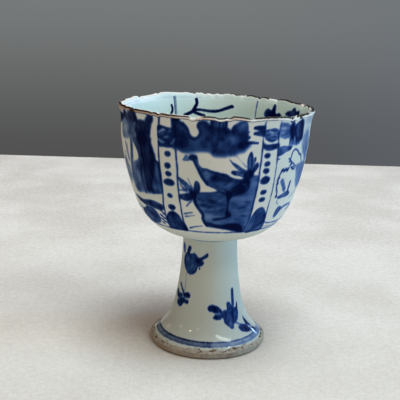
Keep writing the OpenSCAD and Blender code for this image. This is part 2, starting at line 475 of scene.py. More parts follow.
class Wall:
    """A wall of the cup laid flat, angle by height, with its cobalt. It may be painted turned or mirrored."""

    def __init__(self, low, high, radius_at, seed):
        self.low = low
        self.rows = int((high - low) / SHEET_STEP)
        self.degrees = 360 / SHEET_COLUMNS
        self.cobalt = np.zeros((self.rows, SHEET_COLUMNS))
        self.radius_at = radius_at
        self.turned(0)
        draw = np.random.default_rng(seed)
        pools, patches, fine, upright, level, edge = (
            evened(cloudy(draw, self.rows, SHEET_COLUMNS, *cells))
            for cells in (POOL_CELLS, PATCH_CELLS, FINE_CELLS, UPRIGHT_CELLS, LEVEL_CELLS, EDGE_CELLS))
        body = POOL_SHARE * pools + PATCH_SHARE * patches
        streaks = {
            "upright": upright, "level": level,
            "rising": slanted(upright, RISING), "falling": slanted(upright, FALLING),
        }
        self.grain = {name: evened(body + STREAK_SHARE * streak) for name, streak in streaks.items()}
        self.grain["patchy"] = evened(body + FINE_SHARE * fine)
        self.ragged = RAGGED_EDGE * evened(EDGE_PATCH_SHARE * patches + edge)

    def window(self, points, reach):
        """The part of the sheet round some points: its index, its grid and the points, in millimetres."""
        placed = np.asarray(points, float).copy()
        placed[:, 0] = self.turn + self.hand * placed[:, 0]
        scale = math.radians(1) * self.radius_at(placed[:, 1].mean())
        low, high = placed.min(0) - (reach / scale, reach), placed.max(0) + (reach / scale, reach)
        first, last = (int((degrees + 180) / self.degrees) for degrees in (low[0], high[0]))
        columns = np.arange(first - 1, last + 2)
        bottom, top = (int((height - self.low) / SHEET_STEP) for height in (low[1], high[1]))
        rows = np.arange(max(0, bottom), min(self.rows, top + 1))
        across = ((columns + 0.5) * self.degrees - 180) * scale
        x, z = np.meshgrid(across, self.low + (rows + 0.5) * SHEET_STEP)
        return np.ix_(rows, columns % SHEET_COLUMNS), x, z, placed * (scale, 1)

    def turned(self, turn, hand=1):
        """Turns the sheet, or mirrors it, for what is painted next."""
        self.turn = turn
        self.hand = hand

    def lay(self, where, cover, tone, grain, uneven):
        """Adds cobalt, which darkens a little where it goes over what is there."""
        laid = np.clip(cover * tone * (1 + uneven * self.grain[grain][where]), 0, 1)
        under = self.cobalt[where]
        most = np.maximum(under, laid)
        self.cobalt[where] = most + OVERLAP * np.minimum(under, laid) * (1 - most)

    def lift(self, where, cover, keep):
        """Takes cobalt off again, down to the share that is kept."""
        self.cobalt[where] *= 1 - cover * (1 - keep)

    def stroke(self, points, width, tone=DARK, end=1, soft=SOFT_EDGE, grain="patchy", uneven=STROKE_UNEVEN,
               keep=None):
        """One pull of the brush: its width in millimetres, and the share of that at its end."""
        path = curve_through(points, closed=False)
        where, x, z, path = self.window(path, width + soft)
        halves = np.linspace(width / 2, width / 2 * end, len(path))
        cover = np.zeros_like(x)
        for start, stop, half0, half1 in zip(path, path[1:], halves, halves[1:]):
            gap, t = off_line(x, z, start, stop)
            gap = gap - half0 - t * (half1 - half0) + self.ragged[where]
            cover = np.maximum(cover, 1 - smooth_step(-soft / 2, soft / 2, gap))
        if keep is None:
            self.lay(where, cover, tone, grain, uneven)
        else:
            self.lift(where, cover, keep)

    def wash(self, outline, tone=MIDDLE, edge=0, line=EDGE_LINE, soft=SOFT_EDGE, grain="patchy",
             uneven=WASH_UNEVEN, keep=None):
        """A filled form, with a darker line of its own along the edge where edge gives its tone."""
        where, x, z, ring = self.window(curve_through(outline, closed=True), soft)
        inside = np.zeros(x.shape, bool)
        gap = np.full(x.shape, np.inf)
        for start, stop in zip(ring, np.roll(ring, -1, axis=0)):
            gap = np.minimum(gap, off_line(x, z, start, stop)[0])
            run, rise = stop - start
            if rise:
                inside ^= ((start[1] > z) != (stop[1] > z)) & (x < start[0] + (z - start[1]) / rise * run)
        signed = np.where(inside, gap, -gap) + RAGGED_WASH * self.ragged[where]
        cover = smooth_step(-soft / 2, soft / 2, signed)
        if keep is not None:
            self.lift(where, cover, keep)
            return
        self.lay(where, cover, tone, grain, uneven)
        if edge:
            self.lay(where, cover * (1 - smooth_step(line / 2, line, signed)), edge, grain, uneven / 2)

    def strokes(self, paths, *brush, **how):
        """Several pulls of one brush."""
        for path in paths:
            self.stroke(path, *brush, **how)

    def dot(self, centre, half_wide, half_tall, tone=DARK, **how):
        """A round or oval dab: half its width in degrees and half its height in millimetres."""
        turns = np.radians(np.arange(0, 360, DOT_STEP))
        outline = [(centre[0] + half_wide * math.cos(t), centre[1] + half_tall * math.sin(t)) for t in turns]
        self.wash(outline, tone, **how)

    def thin(self, *spots, soft=THIN_EDGE):
        """Soft places where the wash ran thin: centre, half sizes and the share of the colour that stays."""
        for across, height, half_wide, half_tall, keep in spots:
            self.dot((across, height), half_wide, half_tall, soft=soft, keep=keep)

    def ring(self, height, width, tone, tilt=0, **how):
        """A line turned right round the cup."""
        turns = range(-180, 181, RING_STEP)
        self.stroke([(a, height + tilt * math.sin(math.radians(a))) for a in turns], width, tone, **how)

    def bleed(self):
        """Lets the cobalt run a little into the glaze."""
        reach = 2 * BLEED_CELLS
        offsets = np.arange(-reach, reach + 1)
        weights = np.exp(-(offsets / BLEED_CELLS) ** 2)
        weights /= weights.sum()
        run = sum(weight * np.roll(self.cobalt, offset, axis=1) for offset, weight in zip(offsets, weights))
        run = np.pad(run, ((reach, reach), (0, 0)), mode="edge")
        run = sum(weight * run[k:k + self.rows] for k, weight in enumerate(weights))
        self.cobalt += BLEED * (run - self.cobalt)

    def at(self, degrees, heights):
        """The cobalt at some places on the wall."""
        column = (degrees + 180) / self.degrees - 0.5
        row = np.clip((heights - self.low) / SHEET_STEP - 0.5, 0, self.rows - LAST_ROW)
        i, j = row.astype(int), np.floor(column).astype(int)
        across = j % SHEET_COLUMNS, (j + 1) % SHEET_COLUMNS
        return blended(self.cobalt, i, *across, row - i, column - j)


# Motifs. Points are an angle round the cup in degrees and a height in millimetres


def cloud_bank(wall):
    """The bank of cloud that hangs across the top of the bird's panel."""
    wall.wash([(-21.6, 88.4), (-16, 85.9), (-10, 86.6), (-4, 86.7), (-1, 85.7), (2, 85.2), (6, 85.3),
        (10.5, 85.7), (14, 86.5), (18, 87.8), (20, 90), (14, 91), (0, 90), (-14, 90)], 0.5, soft=2)
    wall.wash([(-23.6, 97.5), (-22.5, 99), (-19.5, 99.3), (-19, 98.2), (-18, 97.5), (-16.3, 96.5),
        (-14.8, 95), (-14.2, 93.5), (-13.3, 92.4), (-11.3, 91.9), (-9.2, 92.6), (-8.1, 93.9), (-8.3, 95.2),
        (-9.2, 96.3), (-9, 97.3), (-7.5, 98.1), (-5.5, 98.2), (-4, 97.6), (-2.2, 96.8), (0, 96.6),
        (2, 96.8), (4, 96.6), (6.3, 96.5), (8.7, 95), (9.8, 95.6), (9.8, 97), (11.5, 97.7), (15.5, 98.9),
        (17, 98.6), (17.8, 97), (18.3, 94), (18.5, 91.3), (19, 90), (17.5, 88.4), (14, 87.2), (10.5, 86.4),
        (6, 86), (2, 85.8), (-1, 86.3), (-4, 87.2), (-10, 87.2), (-16, 86.4), (-19.5, 87), (-22, 88.5),
        (-23.3, 92)], 0.8, edge=0.88, line=0.8, soft=0.8, uneven=0.13)
    wall.wash([(-2.6, 95.5), (-2.4, 98.7), (-1, 99.2), (2.2, 99.8), (4, 99.2), (6, 99.4), (6.4, 96.5),
        (4, 95)], 0.56, grain="upright", uneven=0.3)
    for foot, top, width in (((-1.7, 94), (-1.6, 99.1), 1.0), ((0.4, 95), (0.6, 98.6), 0.5),
            ((2.2, 94), (2.2, 99.9), 0.9), ((4, 95), (4.2, 98.6), 0.5), ((5.6, 94.4), (5.8, 99.4), 0.85)):
        wall.stroke([foot, top], width, 0.95, soft=0.6)
    wall.wash([(-23.6, 88.2), (-20, 87.6), (-16, 87.5), (-13, 89.4), (-14.6, 93.2), (-17.4, 94.6),
        (-20, 94), (-23.4, 95)], 0.96, soft=3, uneven=0.05)
    wall.stroke([(-17.4, 97.2), (-15.2, 95.3), (-14.5, 93.6), (-13.2, 92.3), (-11.3, 91.7)], 1.1, 0.95,
        soft=0.8)
    wall.stroke([(-20.6, 98.8), (-21.6, 96.4), (-22.4, 93)], 1.3, 0.9, soft=1.2)
    wall.stroke([(-11, 91.7), (-9.2, 92.4), (-7.9, 93.9), (-8.1, 95.3), (-9, 96.4), (-8.7, 97.4),
        (-7.4, 98), (-5.4, 98), (-4, 97.4)], 1.0, 0.93, soft=0.8)
    wall.strokes([[(-5, 97), (-6, 94), (-8, 91)], [(-3, 96.6), (-3.6, 93.4), (-5.6, 90)],
        [(-0.8, 96), (-2.4, 92), (-4.4, 89)], [(0.6, 96), (-0.6, 92.4), (-2, 89.4)],
        [(2, 96), (1.6, 92), (1, 88.6)], [(3.4, 96), (4, 92.6), (5, 89.4)],
        [(4.6, 96), (6, 93.4), (8, 91)]], 0.7, 0.9, end=0.4, soft=1.1, uneven=0.12)
    wall.wash([(9.8, 96.4), (11.6, 97), (13, 95.2), (16.4, 95), (18, 93.4), (17.6, 90.6), (14.6, 91),
        (12.6, 93.4), (9.4, 95)], 0.93, soft=1.6)
    wall.stroke([(10, 96.8), (9.2, 95.4), (10.2, 93.8)], 0.9, 0.93)
    wall.stroke([(18.4, 90.6), (21, 90.7), (24.4, 90.5)], 1.35, 0.93, end=0.5)
    wall.dot((18.6, 94.7), 0.6, 0.4, 0.88)
    wall.dot((19, 92.7), 0.7, 0.5, 0.88)
    wall.stroke([(-20, 87.2), (-16, 86.5), (-10, 87.2), (-4, 87.2), (-1, 86.4), (3, 85.9), (8, 86.2),
        (13, 87), (18, 88.6)], 1.3, soft=1.6, keep=0.72)
    for across in (-1, 2.4, 5.4, 8.6, 11):
        wall.stroke([(across, 87.6), (across + 0.3, 85.9)], 0.5, 0.8, end=0.4, soft=0.6)
    for outline, keep in (([(8, 93), (9.8, 93.6), (11.4, 92.8), (12.8, 91), (10.8, 90.2), (8.6, 91)], 0.7),
            ([(13, 97), (15.4, 98.6), (17.4, 98.2), (17.2, 96.6), (15, 96)], 0.72),
            ([(-21.4, 96.8), (-19.6, 97.2), (-18, 95.4), (-19.4, 94.6)], 0.82),
            ([(-7.4, 96.8), (-5.6, 96.8), (-5.4, 94.4), (-7, 93.8)], 0.84),
            ([(4, 88.6), (9, 89.4), (12, 88.4), (8, 87.4)], 0.88)):
        wall.wash(outline, soft=2.2, keep=keep)


def bird_panel(wall):
    """A bird on a rock between two sprays, under a bank of cloud."""
    cloud_bank(wall)
    rock_and_ground(wall)
    wall.wash([(-18, 83.4), (-17.2, 84.6), (-16.3, 85.6), (-14.5, 84.9), (-14, 83.6)], 0.46, edge=0.74,
        line=0.4)
    wall.wash([(-11.8, 84), (-10.3, 82), (-9, 80), (-7.5, 78), (-5, 76), (-3.5, 74.4), (-2, 73.9),
        (0, 73.4), (2, 72.5), (4, 71.6), (7, 70.8), (11, 70.4), (15, 70.6), (19, 71.2), (21.5, 73),
        (21.4, 75.8), (18.6, 77.4), (15, 77), (12.5, 77.2), (10, 77.8), (8, 78.6), (6, 79.1), (3, 79.6),
        (0, 80), (-2, 80.4), (-4, 80.9), (-5.5, 80.8), (-7.3, 81.3), (-8.6, 82.5), (-9.2, 84), (-10, 85.5),
        (-12, 85.9), (-14, 85.2), (-14.3, 84.2), (-12.8, 83.6)], 0.64, edge=0.86, line=0.8, grain="falling",
        uneven=0.16)
    wall.dot((-12, 84.8), 2.4, 1.1, DARKEST)
    wall.stroke([(-11.5, 84), (-10.2, 82), (-8.6, 79.6), (-6.6, 77.2), (-3.8, 74.7)], 1.05, 0.96, end=0.7)
    wall.wash([(-2.4, 77.6), (1, 78.6), (6, 78.1), (11, 76.9), (15, 76.6), (16, 75.2), (10, 75.4),
        (4, 75.6), (0, 75.7)], 0.88, soft=2, grain="falling")
    wall.stroke([(-3.6, 80.2), (1, 79.2), (6, 78.3), (10, 77.2)], 0.7, 0.93, soft=0.6)
    wall.stroke([(1, 74.4), (5, 73.4), (9, 72.2)], 0.8, 0.88, soft=0.8)
    wall.dot((15.2, 73), 5.5, 2.3, 0.92, soft=1.8, uneven=0.06)
    wall.wash([(15, 76.8), (19, 77.4), (22, 76.4), (21.6, 74.4), (18, 75), (15, 75.2)], 0.9, soft=1)
    wall.thin((-5, 79.3, 1.5, 0.9, 0.78), (4.8, 73.9, 2.2, 0.8, 0.84), soft=1.2)
    wall.stroke([(-9.9, 83.7), (-8.8, 81.9), (-7.4, 80.6)], 0.8, soft=0.7, keep=0.76)
    wall.stroke([(9.2, 79.3), (12, 78), (16.4, 77.2)], 0.5, keep=0.1)
    spray_behind(wall)
    spray_before(wall)


def rock_and_ground(wall):
    """The rock, the ground below it and the bird's legs."""
    wall.wash([(-11.5, 70.6), (-9, 71.3), (-4, 71.4), (3, 72), (8, 72), (14, 71), (19, 74), (20.4, 77.2),
        (24, 78.1), (26.9, 77.8), (27.2, 74), (26.8, 66), (26.2, 58), (25.5, 55), (24, 53.8), (21, 54),
        (19, 54.7), (16, 55), (12, 55.7), (8, 56), (4, 56.4), (0, 56.8), (-4, 57.2), (-5.5, 58.5),
        (-7, 59.8), (-7.5, 61), (-7, 62.5), (-8, 63.5), (-9, 64.7), (-11, 66), (-12, 67.5), (-12, 69)], 0.5,
        edge=0.68, line=0.6, grain="level", uneven=0.14)
    wall.wash([(-11, 70.6), (-4, 71), (6, 71.2), (8.6, 66), (8, 62.6), (2, 61.6), (-3, 63.4), (-7, 66),
        (-10.6, 68)], 0.44, soft=2.4, grain="falling", uneven=0.24)
    wall.stroke([(-11.6, 70.5), (-11.8, 67.6), (-10.4, 65.6), (-8.4, 63.9), (-6.8, 62.2), (-7, 60.6),
        (-5.9, 59), (-4.2, 57.6)], 1.15, 0.95)
    wall.stroke([(-11.4, 70.8), (-6, 71.3), (0, 71.6), (4, 72.2)], 0.6, 0.8)
    wall.wash([(-5.4, 59), (-2, 59.1), (1, 58.5), (5, 58.1), (8, 58.2), (11, 58.8), (14, 58.9), (17, 58.6),
        (20, 58), (22, 56.8), (24, 55), (25.4, 53.8), (21, 54), (16, 55), (8, 56), (0, 56.8), (-4, 57.1)],
        0.88, soft=0.8, grain="level", uneven=0.1)
    wall.thin((24.4, 71.5, 2, 5, 0.88), (18, 67.6, 2, 2, 0.86), (24, 61.5, 1.8, 4.4, 0.86),
        (-3.3, 61, 2, 1.2, 0.82), (6, 59.4, 5, 0.7, 0.8), (-8.2, 65, 1.4, 0.8, 0.8),
        (14, 63, 2.4, 2.6, 0.9), (13.6, 69, 1.6, 1.4, 0.88), soft=2.6)
    wall.wash([(7.4, 72), (8, 69), (8.2, 66), (8.2, 63.8), (9.9, 63.6), (9.9, 66), (10.7, 69), (11.8, 72)],
        0.93, soft=0.6)
    wall.wash([(8.2, 64), (10.4, 64), (11.9, 63), (12, 61.8), (9.6, 61.6), (8, 62.6)], 0.9, soft=0.6)
    wall.stroke([(0.5, 60.3), (4, 60.7), (8, 61.2), (11.6, 62.2)], 1.1, 0.95, end=0.8)
    for a, b, width in (((-3, 68.5), (1, 68.4), 0.9), ((-1.4, 67.6), (2, 67.7), 1.2),
            ((-7.4, 66.2), (-4.4, 66.5), 1.1), ((-3.4, 65.5), (0.6, 65.8), 0.9),
            ((3, 66.9), (7, 66.6), 0.8), ((4.4, 64.4), (7.2, 64.8), 0.8), ((17, 65.3), (20.6, 65.5), 0.8),
            ((20, 61.9), (22.4, 61.6), 0.8), ((-9.4, 68.6), (-6.6, 68.3), 0.7),
            ((12, 67.2), (14.6, 66.6), 0.7), ((-5, 63.8), (-2.6, 63.5), 0.8), ((15, 60.6), (19, 60.4), 0.7),
            ((21.6, 67.4), (24, 67), 0.7)):
        wall.stroke([a, b], width, 0.72, soft=1, uneven=0.12)
    wall.strokes([[(-8.6, 67.6), (-5, 67.1), (-1.6, 66.7)], [(0.4, 68.9), (3.6, 68.3), (6.6, 67.6)],
        [(-3.6, 64.6), (0, 64.8), (3, 65.4)], [(13.4, 64.6), (17, 64.2), (20.6, 64.4)],
        [(19, 69.6), (22, 69), (25, 69)], [(16.6, 62.4), (20, 62.8), (23.4, 62.6)]], 0.6, soft=0.9,
        keep=0.82)


def leaf(wall, outline, tone=MIDDLE, **how):
    """One leaf, with a dark edge."""
    wall.wash(outline, tone, edge=0.88, line=0.5, soft=0.4, uneven=0.14, **how)


def spray_behind(wall):
    """Leaves that stand up behind the bird's tail."""
    leaf(wall, [(8.2, 84.9), (10.5, 83.6), (13, 82.7), (16, 81.3), (18.6, 80.2), (18, 78.9), (15, 80.1),
        (12, 81.6), (9.8, 83)], 0.52, grain="falling")
    leaf(wall, [(10.4, 80.4), (13, 80.3), (16, 79.6), (18.6, 79), (18, 77.9), (15, 78.1), (12.3, 78.8),
        (10.7, 79.2)], 0.5, grain="falling")
    wall.stroke([(10.5, 79.7), (12.2, 79)], 0.95, 0.95)
    leaf(wall, [(20.8, 87.4), (21.6, 86.4), (22.2, 84), (22.1, 81), (21, 78.8), (19.6, 80), (18.9, 82),
        (19, 85), (19.9, 86.9)], 0.62, grain="upright")
    wall.stroke([(20.5, 85.2), (20.4, 83.4), (20.6, 81.4)], 0.7, soft=0.6, keep=0.6)
    wall.stroke([(23.5, 84.9), (22.9, 83), (22.7, 80.6)], 0.9, 0.5)
    wall.stroke([(23.5, 85), (23.6, 84)], 0.7, DARK)
    leaf(wall, [(25.2, 83.2), (26.1, 82), (25, 80.5), (23, 79.2), (21.6, 79.4), (22.5, 81), (24, 82.5)],
        0.78)
    wall.stroke([(12.3, 85.8), (15, 84), (18.4, 81.6)], 0.35, 0.42)
    wall.wash([(17.4, 79.8), (20, 80.4), (22.6, 80), (23.6, 78.2), (22, 76.8), (19, 76.6), (17.2, 77.6)],
        0.86, soft=1.1)


def spray_before(wall):
    """Leaves and grass in front of the rock, with thin strokes of water below."""
    leaf(wall, [(-21.6, 77), (-19.5, 76.4), (-17, 75.3), (-15, 74), (-12.8, 72.8), (-13.6, 71.5),
        (-16, 72.2), (-18, 73.5), (-20.2, 75)], 0.55, grain="falling")
    leaf(wall, [(-20.6, 74.4), (-18.4, 73), (-16, 71.9), (-17.4, 71.6), (-19.4, 72.6)], 0.5,
        grain="falling")
    leaf(wall, [(-10.6, 76), (-9, 75.5), (-8.2, 74), (-8.3, 72.5), (-9.2, 71), (-11, 71), (-12, 72.5),
        (-11.6, 74.5)], 0.82, grain="upright")
    wall.stroke([(-15.4, 76.7), (-14, 74.6), (-12.8, 72.8)], 0.45, 0.6)
    wall.stroke([(-22, 71.7), (-19, 71.8), (-16.5, 71.5)], 0.6, 0.56)
    wall.wash([(-22.4, 69.2), (-20, 70.1), (-17, 70.6), (-14, 70.9), (-11.5, 71.8), (-10, 70.6),
        (-11.6, 69), (-14, 68.2), (-17, 67.6), (-20, 68)], 0.74, edge=0.88, soft=0.7, uneven=0.16)
    wall.wash([(-15, 72.6), (-12, 72.6), (-10, 71.2), (-11.4, 69.6), (-14.6, 70)], 0.86, soft=1.1)
    wall.stroke([(-13.8, 67.7), (-15.8, 66.6), (-17.6, 65.3)], 0.6, 0.6)
    for path, tone in (([(-20, 62), (-17, 62.5), (-13.8, 62.9)], 0.62),
            ([(-19.5, 60.8), (-16, 61.3), (-12.5, 61.7)], 0.46),
            ([(-17.5, 55.8), (-13, 56.7), (-8, 57.2)], 0.7)):
        wall.stroke(path, 0.65, tone, end=0.6)


def left_band(wall):
    """The upright band left of the bird: two lines, a knotted ribbon, beads and a lappet."""
    wall.stroke([(-31, 98.6), (-32.7, 93.8), (-33.2, 88.5), (-33.4, 83.5), (-33.2, 75), (-33.4, 71),
        (-34.1, 68), (-35, 65.4), (-35.4, 62), (-36.1, 57.7), (-36.3, 54)], 0.55, 0.98)
    wall.stroke([(-22.1, 88), (-21.9, 84), (-21.6, 80), (-21.8, 77), (-22, 72), (-21.7, 65), (-21.5, 59.3),
        (-20.4, 56), (-20.1, 54.4)], 0.55, 0.98)
    wall.stroke([(-23.8, 98.6), (-24, 95)], 0.5, 0.7)
    wall.wash([(-33.4, 94.8), (-31.5, 95.7), (-28, 95.3), (-25, 95), (-22, 95), (-21.6, 91), (-22, 88.1),
        (-25, 87.8), (-29, 87.7), (-33, 88), (-33.6, 91.5)], 0.86, edge=0.92, uneven=0.09)
    for path, width, keep in (([(-32.4, 93), (-30.4, 93.8), (-28.6, 94.3)], 0.85, 0.2),
            ([(-33, 92.1), (-31, 92.3), (-29.2, 92.9)], 0.4, 0.45),
            ([(-30, 91), (-28.4, 91.4), (-26.8, 91.5)], 0.9, 0.5),
            ([(-32.9, 90.2), (-31.4, 89.6), (-29.4, 89.2)], 0.6, 0.25),
            ([(-26.4, 93.4), (-25, 94)], 0.5, 0.6), ([(-24.7, 89.3), (-23.6, 90), (-22.8, 91)], 0.6, 0.4)):
        wall.stroke(path, width, soft=0.6, keep=keep)
    wall.strokes([[(-32, 94.8), (-29, 94.9), (-26.6, 94)], [(-31, 91.4), (-28.6, 90.4), (-25.6, 90.2)],
        [(-30, 88.6), (-27, 89.2), (-24.8, 88.4)]], 0.7, DARKEST, soft=0.6)
    for centre, wide, tall in (((-27.5, 85.2), 2.1, 1.15), ((-27.8, 80.8), 2.1, 1.15),
            ((-27.7, 77.6), 2.2, 0.95), ((-28, 74.2), 3.8, 1.4), ((-28.6, 68.8), 2.1, 1),
            ((-28.7, 64.1), 2.8, 1.15)):
        wall.dot(centre, wide, tall, 0.92)
    wall.wash([(-28.5, 62.3), (-25.5, 61.6), (-23.3, 60), (-21.7, 57.4), (-20.6, 54.2), (-28, 54),
        (-36, 54), (-36, 57.5), (-34.6, 60), (-32, 61.6)], 0.88, edge=0.94, uneven=0.1)
    wall.thin((-24, 58, 2, 2.4, 0.84), (-30, 56, 3, 1, 0.9), soft=1.2)


def right_band(wall):
    """The upright band right of the bird."""
    wall.stroke([(27.7, 98), (27.4, 85), (27.1, 80), (27.3, 76), (26.9, 70), (26.5, 66), (26.7, 64),
        (26, 58), (25, 54)], 0.45, 0.92)
    wall.stroke([(38, 98), (38.3, 88), (38.5, 84), (39, 75), (39.3, 70), (39.5, 64), (40.6, 59)], 0.38,
        0.96)
    wall.wash([(21, 96.3), (23, 96.8), (25.5, 97), (27.8, 96.9), (28.4, 95.5), (28.4, 93.6), (26, 94.6),
        (24, 95.4), (22, 95.8)], 0.8, edge=0.9)
    wall.wash([(21.4, 94.4), (23, 94.6), (25, 94.9), (27.5, 94.4), (28.4, 93), (26.5, 93), (24.5, 93.2),
        (22.5, 93.7)], 0.72, edge=0.86)
    wall.dot((21.8, 96.2), 0.9, 0.5, 0.95)
    wall.dot((22, 94.1), 0.8, 0.5, 0.92)
    wall.wash([(28.4, 95), (31, 95.6), (34, 95.7), (37, 95), (38.4, 93.4), (37.6, 91.6), (35, 90.8),
        (32, 90.9), (29.6, 91.6), (28.3, 93)], 0.55, edge=0.72, line=0.6, uneven=0.2)
    wall.strokes([[(29, 94.8), (32, 95), (35.6, 94.6), (37.4, 93.2)],
        [(30.6, 93.4), (33, 92.6), (36, 92.2)], [(29.4, 92), (32, 91.4), (35, 91.4)],
        [(30.4, 95.2), (29.6, 93.6), (31.2, 92.2)], [(35.2, 95.2), (34.2, 93.8), (36.2, 92.6)]], 0.6, 0.82,
        soft=0.6)
    for path, width, keep in (([(29.2, 94.2), (31.6, 94.4), (34, 93.8)], 0.55, 0.45),
            ([(30.6, 92.5), (33.6, 93.2), (36.6, 93)], 0.6, 0.55),
            ([(31, 95.2), (33, 94.2), (36.4, 94.2)], 0.5, 0.5),
            ([(32.4, 91.9), (34.4, 91.8), (36.8, 91.9)], 0.5, 0.5),
            ([(27.6, 92.4), (29, 91), (30.8, 90.3)], 0.55, 0.2)):
        wall.stroke(path, width, soft=0.5, keep=keep)
    wall.wash([(27.4, 91), (29, 90), (32, 89.6), (35.6, 89.8), (38.6, 89.9), (39.2, 88.7), (36.6, 87.8),
        (32, 87.5), (29, 88), (27.6, 89.2)], 0.72, edge=0.82, uneven=0.16)
    for centre, wide, tall in (((31.3, 85.5), 2.2, 0.95), ((31.7, 82.4), 2.2, 1), ((31.6, 79.7), 2.2, 1.1),
            ((31.8, 76), 3.4, 1.6), ((32.3, 71.2), 2.4, 1), ((32.4, 68), 2.4, 1)):
        wall.dot(centre, wide, tall, 0.86, uneven=0.08)
    wall.wash([(33.3, 64.9), (36, 64.2), (38.6, 62.2), (40.3, 60), (41.6, 57), (42.5, 53.8), (34, 53.6),
        (26.8, 53.6), (26.8, 57), (27.6, 61), (30, 63.9)], 0.7, edge=0.8, grain="falling", uneven=0.12)
    wall.thin((28.6, 58, 1.6, 4, 0.84), (38, 55.6, 2.4, 1.2, 0.86), soft=1.4)


def hidden_band(wall):
    """An upright band of the same kind on the side away from the bird."""
    for side in (-5.4, 5.4):
        wall.stroke([(side, 98), (side * 1.04, 84), (side, 74), (side * 1.1, 62), (side * 1.3, 54)], 0.55,
            0.8)
    wall.dot((0, 93.4), 5, 2.4, 0.78, edge=0.9)
    wall.strokes([[(-4, 94.6), (0, 94.8), (3.8, 94)], [(-3.6, 93), (0, 93.2), (3.6, 92.6)]], 0.6, 0.93)
    wall.stroke([(-3, 94.1), (0, 93.8), (2.6, 94.4)], 0.55, keep=0.4)
    wall.stroke([(-2.6, 92.4), (0.6, 92.1), (3, 92.8)], 0.55, keep=0.45)
    wall.stroke([(-5.4, 89.6), (0, 88.9), (5.4, 89.4)], 1.8, 0.86)
    for height, wide in ((85.4, 2.1), (82, 2.1), (78.8, 2.2), (75.2, 3.5), (70.8, 2.3), (67.4, 2.4)):
        wall.dot((0, height), wide, wide * 0.46, 0.9)
    wall.wash([(0, 64), (3.6, 63), (6.2, 60), (7.6, 54), (0, 53.8), (-7.6, 54), (-6.2, 60), (-3.6, 63)],
        0.84, edge=0.9)


